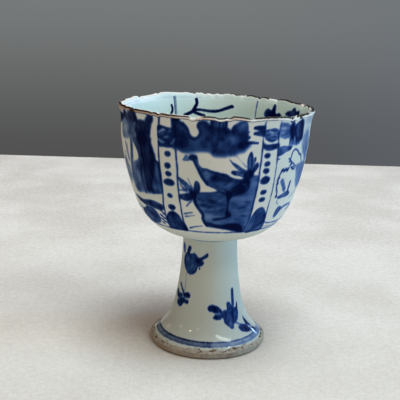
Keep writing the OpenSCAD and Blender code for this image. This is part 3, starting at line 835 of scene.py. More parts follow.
def flower_panel(wall):
    """Flowers and a crooked bough, with a far hill."""
    wall.wash([(60, 97.4), (68, 98), (76, 97.4), (78, 91), (70, 89.6), (61, 90)], 0.17, soft=2.6,
        uneven=0.15)
    wall.wash([(60, 88.6), (64, 92.4), (72, 93.4), (79, 90), (78, 85), (70, 82.4), (65, 83.6), (62, 86.6)],
        0.33, soft=3.4, grain="rising", uneven=0.2)
    wall.wash([(64, 98.6), (78, 98.8), (90, 98.6), (90, 95.4), (76, 95), (66, 95.6)], 0.22, soft=1.6,
        uneven=0.15)
    wall.wash([(37.8, 97.4), (41.2, 97.8), (44.5, 97.2), (46.8, 95.8), (47.2, 92), (44.5, 91.2),
        (41.2, 91.6), (38.6, 93), (37.8, 95.4)], 0.46, soft=1.4, grain="rising", uneven=0.3)
    for path, tone in (([(46.8, 95.4), (43, 96.4), (39, 96.8)], 0.7),
            ([(46.8, 94.4), (43, 94.4), (38.8, 94.6)], 0.58),
            ([(46.8, 93.8), (43.4, 93), (40, 92.6)], 0.72), ([(47, 92.8), (45, 92), (43, 91.6)], 0.66)):
        wall.stroke(path, 1.1, tone, end=0.7, soft=1, uneven=0.2)
    wall.thin((41.4, 95.5, 1.8, 0.6, 0.5))
    wall.dot((46.6, 98.3), 1.7, 0.8, 0.96, soft=0.8)
    wall.wash([(46, 96.5), (47.6, 97.6), (49.4, 97.2), (50.6, 95.5), (51.2, 93.4), (51.6, 91.6),
        (49.6, 90.6), (47.6, 91.8), (46.2, 94)], DARKEST, soft=1.1, uneven=0.05)
    wall.wash([(50.4, 95.4), (53, 97.2), (56, 98.2), (59.2, 97.4), (61.4, 95), (62.2, 92), (61, 90),
        (57.6, 89.4), (54.4, 89.8), (52.2, 91.4)], 0.94, edge=DARKEST, line=1.4, soft=1.1, uneven=0.08)
    wall.stroke([(53.6, 96), (54.6, 93.6), (55.6, 91)], 1.6, soft=1.4, keep=0.78)
    wall.wash([(46.8, 91.6), (50, 91), (55, 90.4), (61.5, 90.6), (58, 88.6), (54, 88.3), (48, 89)], 0.5,
        soft=1.5, grain="upright", uneven=0.25)
    wall.strokes([[(48.8, 91.6), (48, 90.4), (47.4, 89)], [(50.6, 91), (50.2, 88.9)],
        [(53.6, 91), (54.2, 89.6), (54.6, 88.2)], [(56.8, 90.6), (57.2, 88.6)]], 1.3, 0.84, end=0.4,
        soft=0.9)
    wall.wash([(38, 88.3), (40, 88.4), (43, 88.7), (46, 88.3), (50.4, 88), (49, 86.9), (46, 86.2),
        (42, 85.4), (38.4, 84.9)], 0.6, edge=0.76, line=0.5, uneven=0.24)
    wall.stroke([(38.2, 83.8), (40.6, 83.7)], 0.4, 0.7)
    wall.stroke([(65.5, 80.8), (63.6, 82.6), (62, 83.8), (60, 84.2), (58.5, 85.1), (56.6, 86), (54.5, 86.5),
        (52.6, 86.2), (51.4, 85.2), (51.2, 84.2), (50.6, 83.6)], 0.5, 0.94)
    wall.strokes([[(48.6, 83.3), (50.6, 82.8), (49.4, 81.9)], [(50.8, 82.2), (52.6, 81.4), (51, 80.5)],
        [(51.8, 80.7), (54, 81.1), (56, 80.2), (54.2, 79.3), (52.2, 79.7)],
        [(55.4, 80.2), (57.6, 79.6), (56.4, 78.6)]], 0.42, 0.92)
    wall.stroke([(52.6, 79.8), (54.4, 78.8), (56.8, 78.4)], 0.5, 0.84)
    crooked = [(50.4, 79.6), (49, 78.4), (47.8, 79.6), (46.4, 78.4), (45, 79.5), (44.2, 78.6), (42.8, 77.4),
        (42.6, 76.2), (41.8, 75.2), (42.6, 74.2), (42.2, 72.7), (43, 71.2), (44, 69.9), (43.8, 68.2)]
    wall.stroke(crooked, 0.65, 0.97, end=0.8)
    for centre in ((49.4, 78.8), (42.5, 76), (46.4, 78.8), (44, 78.9), (42.2, 73.8), (44.2, 68.4)):
        wall.dot(centre, 1.0, 0.55, 0.96)
    wall.stroke([(46.2, 74.6), (48.4, 72.8), (51, 70.6)], 2.1, 0.56, end=0.8, soft=0.6, grain="falling",
        uneven=0.16)
    wall.stroke([(55.8, 73.4), (55.6, 71), (56, 69)], 1.2, 0.8, end=0.8, soft=0.7)
    wall.wash([(45.4, 67.9), (49, 68.6), (53, 69.6), (57, 69.6), (59.6, 68), (56, 67.3), (51, 67.3),
        (47.6, 67.1)], 0.54, edge=0.76, line=0.5, uneven=0.18)
    wall.stroke([(46.4, 66.4), (47.6, 65.2), (50, 64.5)], 0.4, 0.5)
    wall.wash([(50, 63.4), (53.4, 63.4), (55.4, 62.2), (54, 60.4), (51, 58.8), (48.6, 59.6), (48.8, 61.6)],
        0.6, edge=0.7, line=0.5, uneven=0.16)
    wall.stroke([(56, 62.4), (60, 63), (70, 62.9)], 1.5, 0.42, end=0.6, soft=0.9)
    wall.stroke([(41.6, 57.6), (46, 56.9), (52, 56.6), (60, 56.4), (70, 57)], 0.6, 0.56)
    wall.stroke([(43, 55.6), (52, 55.2), (62, 55.6)], 0.4, 0.4)
    wall.wash([(58, 80), (63, 80.4), (70, 80.4), (78, 79), (82, 74), (78, 69.6), (68, 69.8), (63.6, 72),
        (60.6, 75.6)], 0.36, soft=1.8, grain="falling", uneven=0.15)
    wall.wash([(63, 88.4), (68, 89), (76, 87), (80, 82), (75, 79.6), (70, 80.4), (67.4, 83.6)], 0.24,
        soft=2, uneven=0.25)
    wall.stroke([(62.2, 66.2), (67.2, 67.5), (71, 69.6)], 0.5, 0.46)
    wall.stroke([(66, 60.6), (73, 61.6), (80, 60.6)], 0.9, 0.56, end=0.5)


def tree_panel(wall):
    """A great dark tree and a rock, brushed in upright pulls."""
    wall.wash([(-74, 89.4), (-71.5, 87.6), (-66, 87.2), (-61.8, 87.4), (-56.8, 87.6), (-51, 89), (-50, 95),
        (-56, 96.4), (-66, 96), (-73, 95)], 0.46, soft=1.8, grain="rising", uneven=0.2)
    wall.wash([(-62, 90), (-58, 94), (-53, 95), (-52, 91), (-55, 88.6)], 0.6, soft=2.6, uneven=0.14)
    wall.wash([(-64, 97.8), (-60, 98), (-55, 97.6), (-52, 95.6), (-56, 94), (-62, 94.4)], 0.66, soft=1.4,
        uneven=0.16)
    wall.wash([(-86, 95.6), (-82, 93.2), (-79.5, 92.4), (-74, 93.4), (-70.2, 94.3), (-66, 95.3),
        (-62.8, 96.1), (-61.4, 97.4), (-62, 98.2), (-64.6, 98.1), (-68.2, 96.9), (-74, 96.8), (-80, 96.6)],
        DARKEST, soft=1, uneven=0.06)
    wall.wash([(-57.8, 98.2), (-54.4, 98.9), (-53.4, 99.8), (-51.4, 99.8), (-50.4, 99.1), (-49, 98.3),
        (-48.4, 96.2), (-49.4, 95), (-53.6, 94.9), (-57, 95.7), (-59.2, 96.7)], 0.96, soft=1, uneven=0.08)
    wall.thin((-56.6, 97.4, 0.9, 0.8, 0.8), (-53.4, 96.6, 0.8, 1, 0.86), soft=1)
    wall.wash([(-35.2, 98), (-36.4, 99.2), (-39, 98.6), (-41, 97.6), (-42.8, 96.2), (-44.6, 96.5),
        (-46.4, 96.5), (-49.4, 96), (-51.4, 95), (-52.6, 92), (-52, 90), (-50.4, 87.6), (-45, 86.6),
        (-40, 88), (-39.5, 90.2), (-38.8, 92.6), (-38.2, 94.5), (-36.4, 96.4)], 0.88, soft=1, uneven=0.1)
    wall.wash([(-39.5, 90.2), (-38.6, 88.4), (-37.5, 86.6), (-36.4, 84.4), (-36.2, 82), (-37.4, 78),
        (-39.4, 74.4), (-42, 71.4), (-46, 71.8), (-47.6, 74.5), (-48.2, 78.7), (-48.2, 82.8), (-49.4, 86.5),
        (-51, 90)], 0.93, soft=1.2, grain="upright", uneven=0.07)
    wall.wash([(-50.4, 87.6), (-46, 86), (-41.6, 87), (-41, 91.4), (-44, 93), (-49.6, 92.4)], DARKEST,
        soft=2.4, uneven=0.02)
    wall.strokes([[(-36.4, 98.8), (-37.6, 96), (-38.8, 93.4)], [(-38.4, 98.4), (-39.4, 95.6), (-40.6, 92)],
        [(-47, 95.6), (-46, 92), (-45, 88)], [(-43.6, 96), (-43, 92), (-42.4, 88)]], 0.8, 0.95, end=0.6,
        soft=0.9, grain="upright", uneven=0.1)
    wall.wash([(-57, 88.4), (-53.4, 85.8), (-51, 82.6), (-51.8, 80), (-48, 78.6), (-47.8, 83), (-49, 86.6),
        (-51, 89.4)], 0.64, soft=1.1, grain="upright", uneven=0.14)
    wall.wash([(-58.8, 88), (-56.6, 87.6), (-56.4, 83.6), (-57.6, 80), (-58, 77.6), (-62, 77.2),
        (-60.8, 81.4), (-59.6, 84.6)], 0.5, soft=1.3, grain="upright", uneven=0.2)
    wall.wash([(-38.8, 82.4), (-36.6, 82.2), (-35, 81.4), (-33.6, 80), (-33.4, 75), (-34, 69.6),
        (-37, 68.8), (-42, 68.6), (-42.6, 73), (-39.6, 76)], 0.66, edge=0.8, line=0.6, soft=0.7,
        grain="upright", uneven=0.12)
    wall.stroke([(-37.8, 84.4), (-36.4, 82.2), (-34.4, 81), (-33.6, 79.4), (-33.6, 73)], 0.8, 0.92)
    wall.wash([(-62, 78), (-57, 79.6), (-52, 80.6), (-48, 80), (-47.6, 74.5), (-44, 71), (-43, 68.6),
        (-52, 67.7), (-62, 67.2), (-64, 71), (-63.8, 75)], 0.54, soft=1.8, uneven=0.2)
    wall.wash([(-61, 70.4), (-54, 72.4), (-47, 74), (-41, 71), (-40, 68.7), (-54, 67.6), (-62, 67.3)], 0.74,
        soft=2, uneven=0.16)
    for path, width, tone in (([(-49.6, 79), (-51, 72), (-50, 68.4)], 2.0, 0.8),
            ([(-55.6, 77), (-57, 71.4), (-57, 68)], 1.3, 0.72),
            ([(-46.4, 79), (-47, 73), (-46, 69)], 1.6, 0.9),
            ([(-53, 79), (-54, 73), (-53, 68.4)], 0.8, 0.76),
            ([(-42.6, 75), (-43, 71), (-42, 68.8)], 1.2, 0.9),
            ([(-60.4, 77), (-61, 72), (-60, 68)], 0.9, 0.66),
            ([(-38.6, 74), (-36.4, 73.4), (-34, 73.2)], 0.8, 0.84),
            ([(-38, 72), (-37.6, 70), (-37.6, 69)], 0.7, 0.84)):
        wall.stroke(path, width, tone, soft=1.1, grain="upright", uneven=0.14)
    wall.wash([(-53.6, 85), (-52.4, 83.6), (-51.6, 82), (-53, 80.8), (-56, 80), (-56.4, 81.4),
        (-55.4, 83.4)], soft=1.5, keep=0.2)
    # The last spot, at -73 degrees and 90 millimetres, is a painted highlight: the cobalt is thinned where
    # the glaze shows a reflection
    wall.thin((-38.4, 71.2, 2, 1.1, 0.7), (-36, 77, 1.3, 2.4, 0.88), (-66, 91.4, 4, 1.6, 0.8),
        (-45.4, 80, 1, 5, 0.94), (-73, 90, 3, 2, 0.6))
    for path, width, tone in (([(-67, 86), (-66, 82.6), (-64.5, 79)], 1.0, 0.56),
            ([(-64.6, 85.4), (-63.8, 82), (-62.6, 78)], 0.8, 0.5),
            ([(-70, 82), (-68.4, 76), (-66.4, 70)], 0.9, 0.46),
            ([(-73, 81), (-71.4, 75), (-69.4, 69)], 0.7, 0.42),
            ([(-76, 79), (-74, 74), (-71.6, 68.8)], 1.0, 0.4),
            ([(-65.6, 77), (-65, 72), (-64, 68.4)], 0.8, 0.54)):
        wall.stroke(path, width, tone, end=0.8, soft=1, grain="upright", uneven=0.2)
    wall.wash([(-73, 80), (-67, 78), (-65, 73), (-68, 70), (-75, 72), (-78, 77)], 0.34, soft=2.4,
        grain="upright", uneven=0.25)
    wall.wash([(-70, 64.6), (-63, 64.7), (-56.5, 64.3), (-50, 64.8), (-44, 65), (-36, 64.2), (-37, 62),
        (-42, 61.8), (-48, 62.2), (-56, 62.2), (-63, 62.8)], 0.7, edge=0.8, grain="level", uneven=0.16)
    wall.wash([(-54, 63.8), (-47, 64.3), (-38, 63.6), (-38, 62.4), (-47, 62.6)], 0.88, soft=1)
    wall.wash([(-62.6, 59.6), (-57.6, 60.8), (-53, 61.8), (-48.2, 61.8), (-43.8, 60.4), (-42.2, 58.4),
        (-44.4, 56.2), (-48, 55.2), (-56, 54.8), (-64, 55.6), (-66, 57.6)], 0.66, edge=0.78, uneven=0.14)
    wall.dot((-48.6, 58.6), 4.4, 1.9, 0.82, soft=1.8)
    for across, height in ((-40, 61.8), (-37.8, 60.6), (-40.8, 59.6), (-38.6, 58.7), (-41.2, 57.9),
            (-39.2, 57), (-42.2, 56.2)):
        wall.stroke([(across, height), (across + 1.5, height - 0.4)], 0.75, 0.94)
    wall.stroke([(-76, 62), (-70, 60.4), (-62, 59.8)], 0.7, 0.5)
    wall.stroke([(-74, 57.4), (-66, 56.6), (-60, 56.8)], 0.5, 0.42)
    wall.wash([(-68, 77), (-58, 78), (-52, 75), (-50.6, 66), (-58, 64), (-68, 66)], soft=2.6, keep=0.7)
    wall.wash([(-76, 94), (-64, 95), (-55, 94), (-54, 89), (-64, 87), (-76, 88)], soft=2.6, keep=0.84)


def stem_sprigs(wall):
    """Loose sprigs scattered down the stem."""
    wall.wash([(-64, 36.5), (-62, 38), (-55, 39.5), (-50, 40.3), (-45, 39.5), (-38, 39.7), (-33, 40.2),
        (-28, 39.6), (-25, 38.6), (-20, 38.5), (-12, 39.6), (-5, 40.7), (-3.2, 40.3), (-4, 39.3),
        (-10, 38.4), (-15, 37.6), (-10.5, 36.7), (-14, 35.5), (-19, 35.2), (-23, 34.6), (-26, 33),
        (-30, 31.8), (-37, 31), (-44, 31), (-52, 32), (-59, 33.5), (-63, 35)], 0.74, edge=0.88, line=0.7,
        uneven=0.12)
    wall.dot((-24, 37.2), 6, 1.3, 0.95, soft=1)
    wall.thin((-34, 34.6, 5, 1.4, 0.82), (-50, 37.2, 6, 1.2, 0.84), (-8, 39.8, 3, 0.4, 0.85), soft=1.2)
    wall.strokes([[(-28, 37), (-38, 35.4), (-50, 34.6)], [(-27, 38), (-38, 38), (-52, 38.4)],
        [(-30, 35.6), (-36, 33.4), (-42, 32)]], 0.6, 0.92, end=0.5, soft=0.6)
    wall.wash([(-54, 40), (-50, 42.4), (-44, 42.6), (-41, 41.8), (-45, 40.4), (-49, 39.2)], 0.78, edge=0.9)
    wall.wash([(-60, 39.6), (-63, 42.4), (-70, 43), (-74, 41.6), (-70, 40), (-64, 38.8)], 0.58, edge=0.7)
    wall.dot((-20, 34.1), 1.6, 0.35, 0.8)
    wall.stroke([(-50, 31), (-49.6, 28), (-49, 25.2), (-51, 23)], 0.35, 0.42)
    wall.stroke([(-66, 25.8), (-60, 24.6), (-51.2, 22.6)], 0.8, 0.9, end=1.2)
    wall.wash([(-72, 20.4), (-63.2, 21.8), (-53.8, 21.7), (-56, 20.2), (-63, 19.4)], 0.86, edge=0.94,
        line=0.4)
    wall.wash([(-52, 21.4), (-49, 22.6), (-41.5, 23.3), (-34, 22.6), (-36.5, 21.3), (-45, 20.9)], 0.9,
        edge=0.95, line=0.4)
    wall.dot((-40, 22.2), 4.4, 0.55, DARKEST)
    wall.wash([(-62, 19.8), (-50, 20.6), (-42.5, 20.2), (-36.5, 19.9), (-38.2, 18.8), (-44, 18.6),
        (-52.5, 18.6), (-60.8, 18.8)], 0.88, edge=0.95, line=0.4)
    wall.dot((-39.6, 19.4), 3.4, 0.5, DARKEST)
    wall.wash([(-68, 18.6), (-60.8, 19), (-52, 18.8), (-49, 18.2), (-51, 17), (-58, 16.7), (-66, 17.4)],
        0.88, edge=0.92, line=0.4)
    wall.stroke([(-64, 19.2), (-54, 20.6), (-44, 20.9), (-37, 20.7)], 0.24, soft=0.3, keep=0.45)
    wall.stroke([(-52, 20.2), (-48, 19.2), (-44, 18.8)], 0.2, soft=0.3, keep=0.6)
    wall.wash([(-64, 21), (-70, 22.6), (-78, 22.4), (-76, 20.8), (-68, 20)], 0.8, edge=0.9, line=0.5)
    wall.wash([(-1, 18.4), (1, 17.2), (7.8, 16.7), (15.5, 16.1), (24, 16.2), (22, 17.6), (15.8, 19),
        (7.8, 19.5), (2, 19.3)], 0.93, uneven=0.05)
    wall.wash([(7.6, 14.6), (12, 15.5), (18, 15.7), (25, 15.7), (26, 14.6), (20, 13.9), (15, 13.7),
        (10, 14)], 0.88, edge=0.95, line=0.4)
    wall.stroke([(5, 18), (12, 17.8), (19, 17)], 0.22, soft=0.3, keep=0.6)
    wall.stroke([(10, 15.9), (16, 16), (22, 16)], 0.2, soft=0.25, keep=0.45)
    wall.wash([(25, 13.8), (26, 12.2), (28.6, 11.6), (31, 10.9), (34, 10), (38, 10), (41, 11.2), (47, 12),
        (52, 12.9), (56, 14.5), (57, 16), (55, 17.2), (51, 17.2), (47, 17.6), (43, 18.4), (39.4, 19.8),
        (34.4, 20), (32.6, 19), (33.8, 17.4), (30, 16.9), (27.5, 17.2), (24, 16.4), (23, 15.2)], 0.72,
        edge=0.88, line=0.5, uneven=0.14)
    wall.strokes([[(42, 15), (36, 13.6), (30, 12.4)], [(42, 15), (40, 12.6), (36, 10.8)],
        [(43, 15.4), (48, 13.8), (53, 13.6)], [(42, 15.4), (38, 17.6), (35, 19.4)],
        [(43, 15.6), (49, 16.2), (55, 16.2)], [(40, 15.4), (33, 15.6), (26, 15)],
        [(44, 17.6), (43.6, 15), (42, 12.6)]], 0.5, 0.92, end=0.5, soft=0.5)
    wall.thin((46, 14.6, 2.6, 0.8, 0.8), (36, 11.4, 3, 0.8, 0.76), (36.6, 18.4, 1.6, 0.6, 0.7), soft=0.9)
    wall.stroke([(48.8, 24.6), (48, 22), (47, 18.6)], 1.7, 0.74, end=0.9)
    wall.wash([(59, 19.2), (56.6, 18.6), (53.8, 17.6), (53, 16.4), (56, 16.6), (58.4, 17.8)], 0.9,
        edge=0.94, line=0.4)
    wall.stroke([(43.5, 11.7), (49, 10.9), (55.2, 10.1)], 0.4, 0.84)
    wall.wash([(65.2, 12.8), (67, 11.6), (71, 9.8), (74.8, 8), (70, 8.4), (66, 9.2), (63, 10.6)], 0.9,
        edge=0.94, line=0.4)
    wall.wash([(46.2, 9.6), (50, 10), (56, 10.1), (61, 9.8), (66, 9.2), (66.2, 7), (59, 7.1), (53, 7.7),
        (49.5, 8.2)], 0.86, edge=0.93, line=0.4, uneven=0.14)
    wall.wash([(66, 7.8), (70, 7.6), (75, 7.2), (80, 6.4), (78, 5.4), (70, 5.8), (66.4, 6.6)], 0.82,
        uneven=0.16)


def stem_rings(wall):
    """The turned lines and the pale band above the foot, and a faint line under the bowl."""
    wall.ring(6.0, 0.5, 0.94, tilt=-0.25, soft=0.4)
    wall.ring(5.2, 1.5, 0.5, tilt=-0.25, uneven=0.12)
    wall.ring(4.75, 0.35, 0.56, tilt=-0.25, soft=0.4)
    wall.stroke([(8, 5.3), (30, 5.1), (60, 5), (90, 4.95), (130, 5)], 2.6, soft=1, keep=0.6)
    wall.ring(45.9, 0.55, 0.34)


def inside_motifs(wall):
    """The far half of the inside: thin uprights, a bare branch and two small flowers."""
    wall.stroke([(150, 98), (150.4, 95), (151, 89)], 0.5, 0.74)
    wall.stroke([(209.5, 98), (209.5, 94), (209, 89)], 0.6, 0.6)
    wall.stroke([(193.4, 97), (193.1, 95.2), (194.6, 93.4), (196.6, 91.6), (199, 90.8), (202, 90)], 1.4, 1)
    wall.stroke([(196.4, 91.8), (193, 90.8), (188, 89.8)], 1.3, 1)
    wall.stroke([(195, 92.4), (190, 92.3), (183, 91.8), (178, 92.1), (174, 92.9), (168.5, 94.3)], 1.0, 1,
        end=1.4)
    wall.dot((168.4, 94.1), 1.3, 0.7, 0.96)
    wall.stroke([(212, 94.6), (211.4, 92.6), (212.6, 90.8)], 1.1, 0.96)
    wall.stroke([(208.4, 98.4), (208.4, 94), (208, 89)], 0.5, 0.4, soft=0.7)
    wall.wash([(128.5, 92.2), (131, 93.6), (134.2, 93.2), (135.2, 96.6), (136.8, 97), (138.2, 94.4),
        (141, 94.8), (143.6, 93.4), (143, 91.2), (137, 90.4), (130, 90.8)], 0.9, edge=0.96, soft=1.2)
    wall.dot((133, 91.8), 4, 0.9, 0.95, soft=1)
    wall.wash([(108.6, 95.4), (110.4, 96.6), (113, 95.8), (115.6, 97.2), (117.6, 96.8), (119.4, 95.6),
        (123, 95), (125, 93.6), (118, 93), (110.4, 93.6)], 0.88, edge=0.95, soft=1.2)


# The six panels: three as the front shows them, and the same three again, mirrored, behind
PANELS = (tree_panel, flower_panel, bird_panel, left_band, right_band, stem_sprigs)
PANEL_TURNS = ((0, 1), (185, -1))
SIDE_BANDS = (92.5, 272.5)
INSIDE_TURNS = (0, 180)
OUTSIDE_FROM = 2
INSIDE_FROM = 60
SHEET_TOP = CUP_H + 1
OUTSIDE_SEED = 11
INSIDE_SEED = 23


def paint_outside(wall):
    """All the painting of the outside. The lines round the stem don't run."""
    for turn, hand in PANEL_TURNS:
        wall.turned(turn, hand)
        for motif in PANELS:
            motif(wall)
    for turn in SIDE_BANDS:
        wall.turned(turn)
        hidden_band(wall)
    wall.turned(0)
    wall.ring(54.2, 0.5, 0.74)
    wall.ring(98.9, 0.45, 0.46)
    wall.bleed()
    stem_rings(wall)


def paint_inside(wall):
    """The painting inside the bowl, and a pale line under the rim."""
    for turn in INSIDE_TURNS:
        wall.turned(turn)
        inside_motifs(wall)
    wall.turned(0)
    wall.ring(98, 0.8, 0.14, soft=0.9)


outside_rows = glazed_outside()
outside_wall = Wall(
    OUTSIDE_FROM, SHEET_TOP, lambda z: np.interp(z, outside_rows[:, 1], outside_rows[:, 0]), OUTSIDE_SEED)
paint_outside(outside_wall)
inside_rows = bowl_inside(0, PAINTED_STEP)
inside_wall = Wall(INSIDE_FROM, SHEET_TOP, lambda z: RIM_D / 2, INSIDE_SEED)
paint_inside(inside_wall)


class Wire:
    """A socket of a node tree. Sums of wires and numbers add Math nodes."""

    def __init__(self, finish, socket):
        self.finish = finish
        self.socket = socket

    def __add__(self, other):
        return self.finish.sum("ADD", self, other)

    def __sub__(self, other):
        return self.finish.sum("SUBTRACT", self, other)

    def __mul__(self, other):
        return self.finish.sum("MULTIPLY", self, other)

    def __truediv__(self, other):
        return self.finish.sum("DIVIDE", self, other)

    def __rsub__(self, other):
        return self.finish.sum("SUBTRACT", other, self)

    def __rtruediv__(self, other):
        return self.finish.sum("DIVIDE", other, self)

    __radd__ = __add__
    __rmul__ = __mul__


class Finish:
    """A node tree and the few ways of adding to it."""

    def __init__(self, tree):
        self.tree = tree
        tree.nodes.clear()

    def node(self, kind, settings=None, sockets=None, out=0):
        """A new node with its settings, its sockets' values or wires, and the stops of its ramp."""
        made = self.tree.nodes.new(kind)
        for key, value in (settings or {}).items():
            if key == "stops":
                ramp = made.color_ramp.elements
                while len(ramp) < len(value):
                    ramp.new(1)
                for element, (place, tint) in zip(ramp, value):
                    element.position = place
                    element.color = tint
            else:
                setattr(made, key, value)
        for key, value in (sockets or {}).items():
            if isinstance(value, Wire):
                self.tree.links.new(value.socket, made.inputs[key])
            else:
                made.inputs[key].default_value = value
        return Wire(self, made.outputs[out] if len(made.outputs) else None)

    def sum(self, operation, a, b):
        return self.node("ShaderNodeMath", {"operation": operation}, {0: a, 1: b})

    def attribute(self, name):
        return self.node("ShaderNodeAttribute", {"attribute_name": name}, out="Fac")

    def place(self, kind="Object"):
        return self.node("ShaderNodeTexCoord", out=kind)

    def part(self, place, axis):
        return self.node("ShaderNodeSeparateXYZ", None, {0: place}, out=axis)

    def across(self):
        """Distance to the right of the cup's axis, in millimetres."""
        return self.part(self.place(), "X") / MM

    def behind(self):
        """Distance behind the cup's axis, in millimetres."""
        return self.part(self.place(), "Y") / MM

    def height(self):
        """Height above the foot, in millimetres."""
        return self.part(self.place(), "Z") / MM

    def noise(self, pattern, stretch=None):
        """Soft random patches: how many in a metre, their detail and roughness, and their stretch."""
        scale, detail, rough = pattern
        where = self.place()
        if stretch:
            where = self.node("ShaderNodeVectorMath", {"operation": "MULTIPLY"}, {0: where, 1: stretch})
        return self.node("ShaderNodeTexNoise", None, {
            "Vector": where, "Scale": scale, "Detail": detail, "Roughness": rough})

    def between(self, value, low, high):
        """0 where a value is low, 1 where it is high, and smooth between."""
        return self.node("ShaderNodeMapRange", {"interpolation_type": "SMOOTHSTEP"}, {
            "Value": value, "From Min": low, "From Max": high})

    def mix(self, factor, a, b):
        return self.node("ShaderNodeMix", {"data_type": "RGBA"}, {0: factor, 6: a, 7: b}, out=2)

    def ramp(self, value, stops):
        return self.node("ShaderNodeValToRGB", {"stops": stops}, {0: value})

    def bump(self, height, distance, strength, under=None):
        """Relief by a height, with its depth in metres and its strength, over the relief under it."""
        sockets = {"Height": height, "Distance": distance, "Strength": strength}
        if under:
            sockets["Normal"] = under
        return self.node("ShaderNodeBump", None, sockets)

    def surface(self, sockets):
        shader = self.node("ShaderNodeBsdfPrincipled", None, sockets)
        self.node("ShaderNodeOutputMaterial", None, {"Surface": shader})


def material(name):
    made = bpy.data.materials.new(name)
    made.use_nodes = True
    return made, Finish(made.node_tree)


def colour(red, green, blue):
    """A colour as it looks on screen, from 0 to 255."""
    values = [c / 255 for c in (red, green, blue)]
    return tuple(c / 12.92 if c <= 0.04045 else ((c + 0.055) / 1.055) ** 2.4 for c in values) + (1.0,)


# Colours
GLAZE_WHITE = colour(226, 227, 218)
# The stem's glaze: greener than the bowl's in tint, and darker as painted shade under the bowl
STEM_TINT_AND_SHADE = colour(194, 203, 193)
# Inside the bowl: painted light at the left and painted shade at the right
INSIDE_PAINTED_LIGHT = colour(210, 238, 240)
INSIDE_PAINTED_SHADE = colour(180, 193, 180)
# A painted highlight on the inside of the lip at the far left
INSIDE_LIP_HIGHLIGHT = colour(248, 249, 255)
GLAZE_GREEN = colour(214, 221, 211)
GLAZE_WARM = colour(224, 218, 205)
COBALT_PALE = colour(150, 172, 200)
COBALT_SOFT = colour(84, 120, 180)
COBALT_MIDDLE = colour(33, 73, 136)
COBALT_DEEP = colour(6, 37, 94)
COBALT_DARK = colour(0, 14, 58)
GREYED_PALE = colour(136, 154, 172)
GREYED_MIDDLE = colour(66, 78, 106)
GREYED_DARK = colour(2, 5, 44)
BISCUIT = colour(176, 168, 152)
BISCUIT_GREY = colour(150, 144, 132)
IRON_SPECK = colour(92, 60, 36)
BISCUIT_RUST = colour(164, 132, 84)
# Painted shade where the foot meets the table
BISCUIT_CONTACT_SHADE = colour(84, 70, 56)
RIM_BROWN = colour(180, 152, 134)
RIM_DARK = colour(22, 15, 12)
RIM_BUFF = colour(208, 190, 176)
CHIP_WHITE = colour(228, 230, 224)
SLIP_PALE = colour(206, 199, 184)
CLOTH = colour(229, 225, 217)
# Painted light: the cloth is paler to the back, where the lamps light it less
CLOTH_FAR_PAINTED_LIGHT = colour(248, 245, 239)
CLOTH_SHADE = colour(210, 204, 194)

# Bare glaze. Here and below, spans run from where something sets in to where it is full
DRIFT_NOISE = (28, 2, 0.5)
DRIFT_SPAN = (0.35, 0.7)
WARM_NOISE = (17, 1, 0.5)
WARM_STRETCH = (1, 1, 0.6)
WARM_SPAN = (0.5, 0.75)
WARM_SHARE = 0.6
SPECK_NOISE = (950, 1, 0.4)
SPECK_SPAN = (0.79, 0.83)
SPECK_SHARE = 0.5
SWELL_NOISE = (75, 2, 0.45)
SWELL_STRETCH = (1, 1, 0.5)
SWELL_BUMP = (0.0006, 0.5)
PEEL_NOISE = (700, 1, 0.4)
PEEL_BUMP = (0.00002, 0.5)


def glaze_ground(finish):
    """Bare glaze: a green-white that drifts a little and holds a few fine iron specks."""
    drift = finish.between(finish.noise(DRIFT_NOISE), *DRIFT_SPAN)
    ground = finish.mix(drift, GLAZE_WHITE, GLAZE_GREEN)
    warm = finish.between(finish.noise(WARM_NOISE, WARM_STRETCH), *WARM_SPAN)
    ground = finish.mix(warm * WARM_SHARE, ground, GLAZE_WARM)
    specks = finish.between(finish.noise(SPECK_NOISE), *SPECK_SPAN)
    return finish.mix(specks * SPECK_SHARE, ground, IRON_SPECK)


def glaze_skin(finish):
    """The glaze's own unevenness: soft swells and a faint orange peel."""
    skin = finish.bump(finish.noise(SWELL_NOISE, SWELL_STRETCH), *SWELL_BUMP)
    return finish.bump(finish.noise(PEEL_NOISE), *PEEL_BUMP, skin)


# Cobalt: its colours by tone, and how its grain and pools change the tone
COBALT_TONES = [
    (0.1, COBALT_PALE), (0.36, COBALT_SOFT), (0.6, COBALT_MIDDLE), (0.8, COBALT_DEEP), (0.98, COBALT_DARK),
]
GREYED_TONES = [(0.2, GREYED_PALE), (0.6, GREYED_MIDDLE), (0.95, GREYED_DARK)]
COBALT_COVERS = (0.02, 0.34)
BRUSH_NOISE = (420, 3, 0.6)
POOL_NOISE = (150, 2, 0.5)
TONE_LEAST = 0.8
TONE_BRUSH = 0.22
TONE_POOL = 0.18


def painted(finish, ground, greyed):
    """Cobalt under the glaze: its tone with fine brush grain, as a colour, greyed where it was laid thin."""
    fine = finish.noise(BRUSH_NOISE)
    pooled = finish.noise(POOL_NOISE)
    tone = finish.attribute("cobalt") * (TONE_LEAST + TONE_BRUSH * fine + TONE_POOL * pooled)
    cobalt = finish.mix(greyed, finish.ramp(tone, COBALT_TONES), finish.ramp(tone, GREYED_TONES))
    return finish.mix(finish.between(tone, *COBALT_COVERS), ground, cobalt)


# Shine of the glaze: weak on the rubbed bowl, strong on the stem's flare
GLAZE_GLOSS = 0.0
GLAZE_IOR = 1.5
GLAZE_ROUGH = 0.2
BOWL_SHINE = 0.05
FLARE_SHINE = 0.75
SHINE_Z = (17, 9)
SHINE_BLUR = 0.05

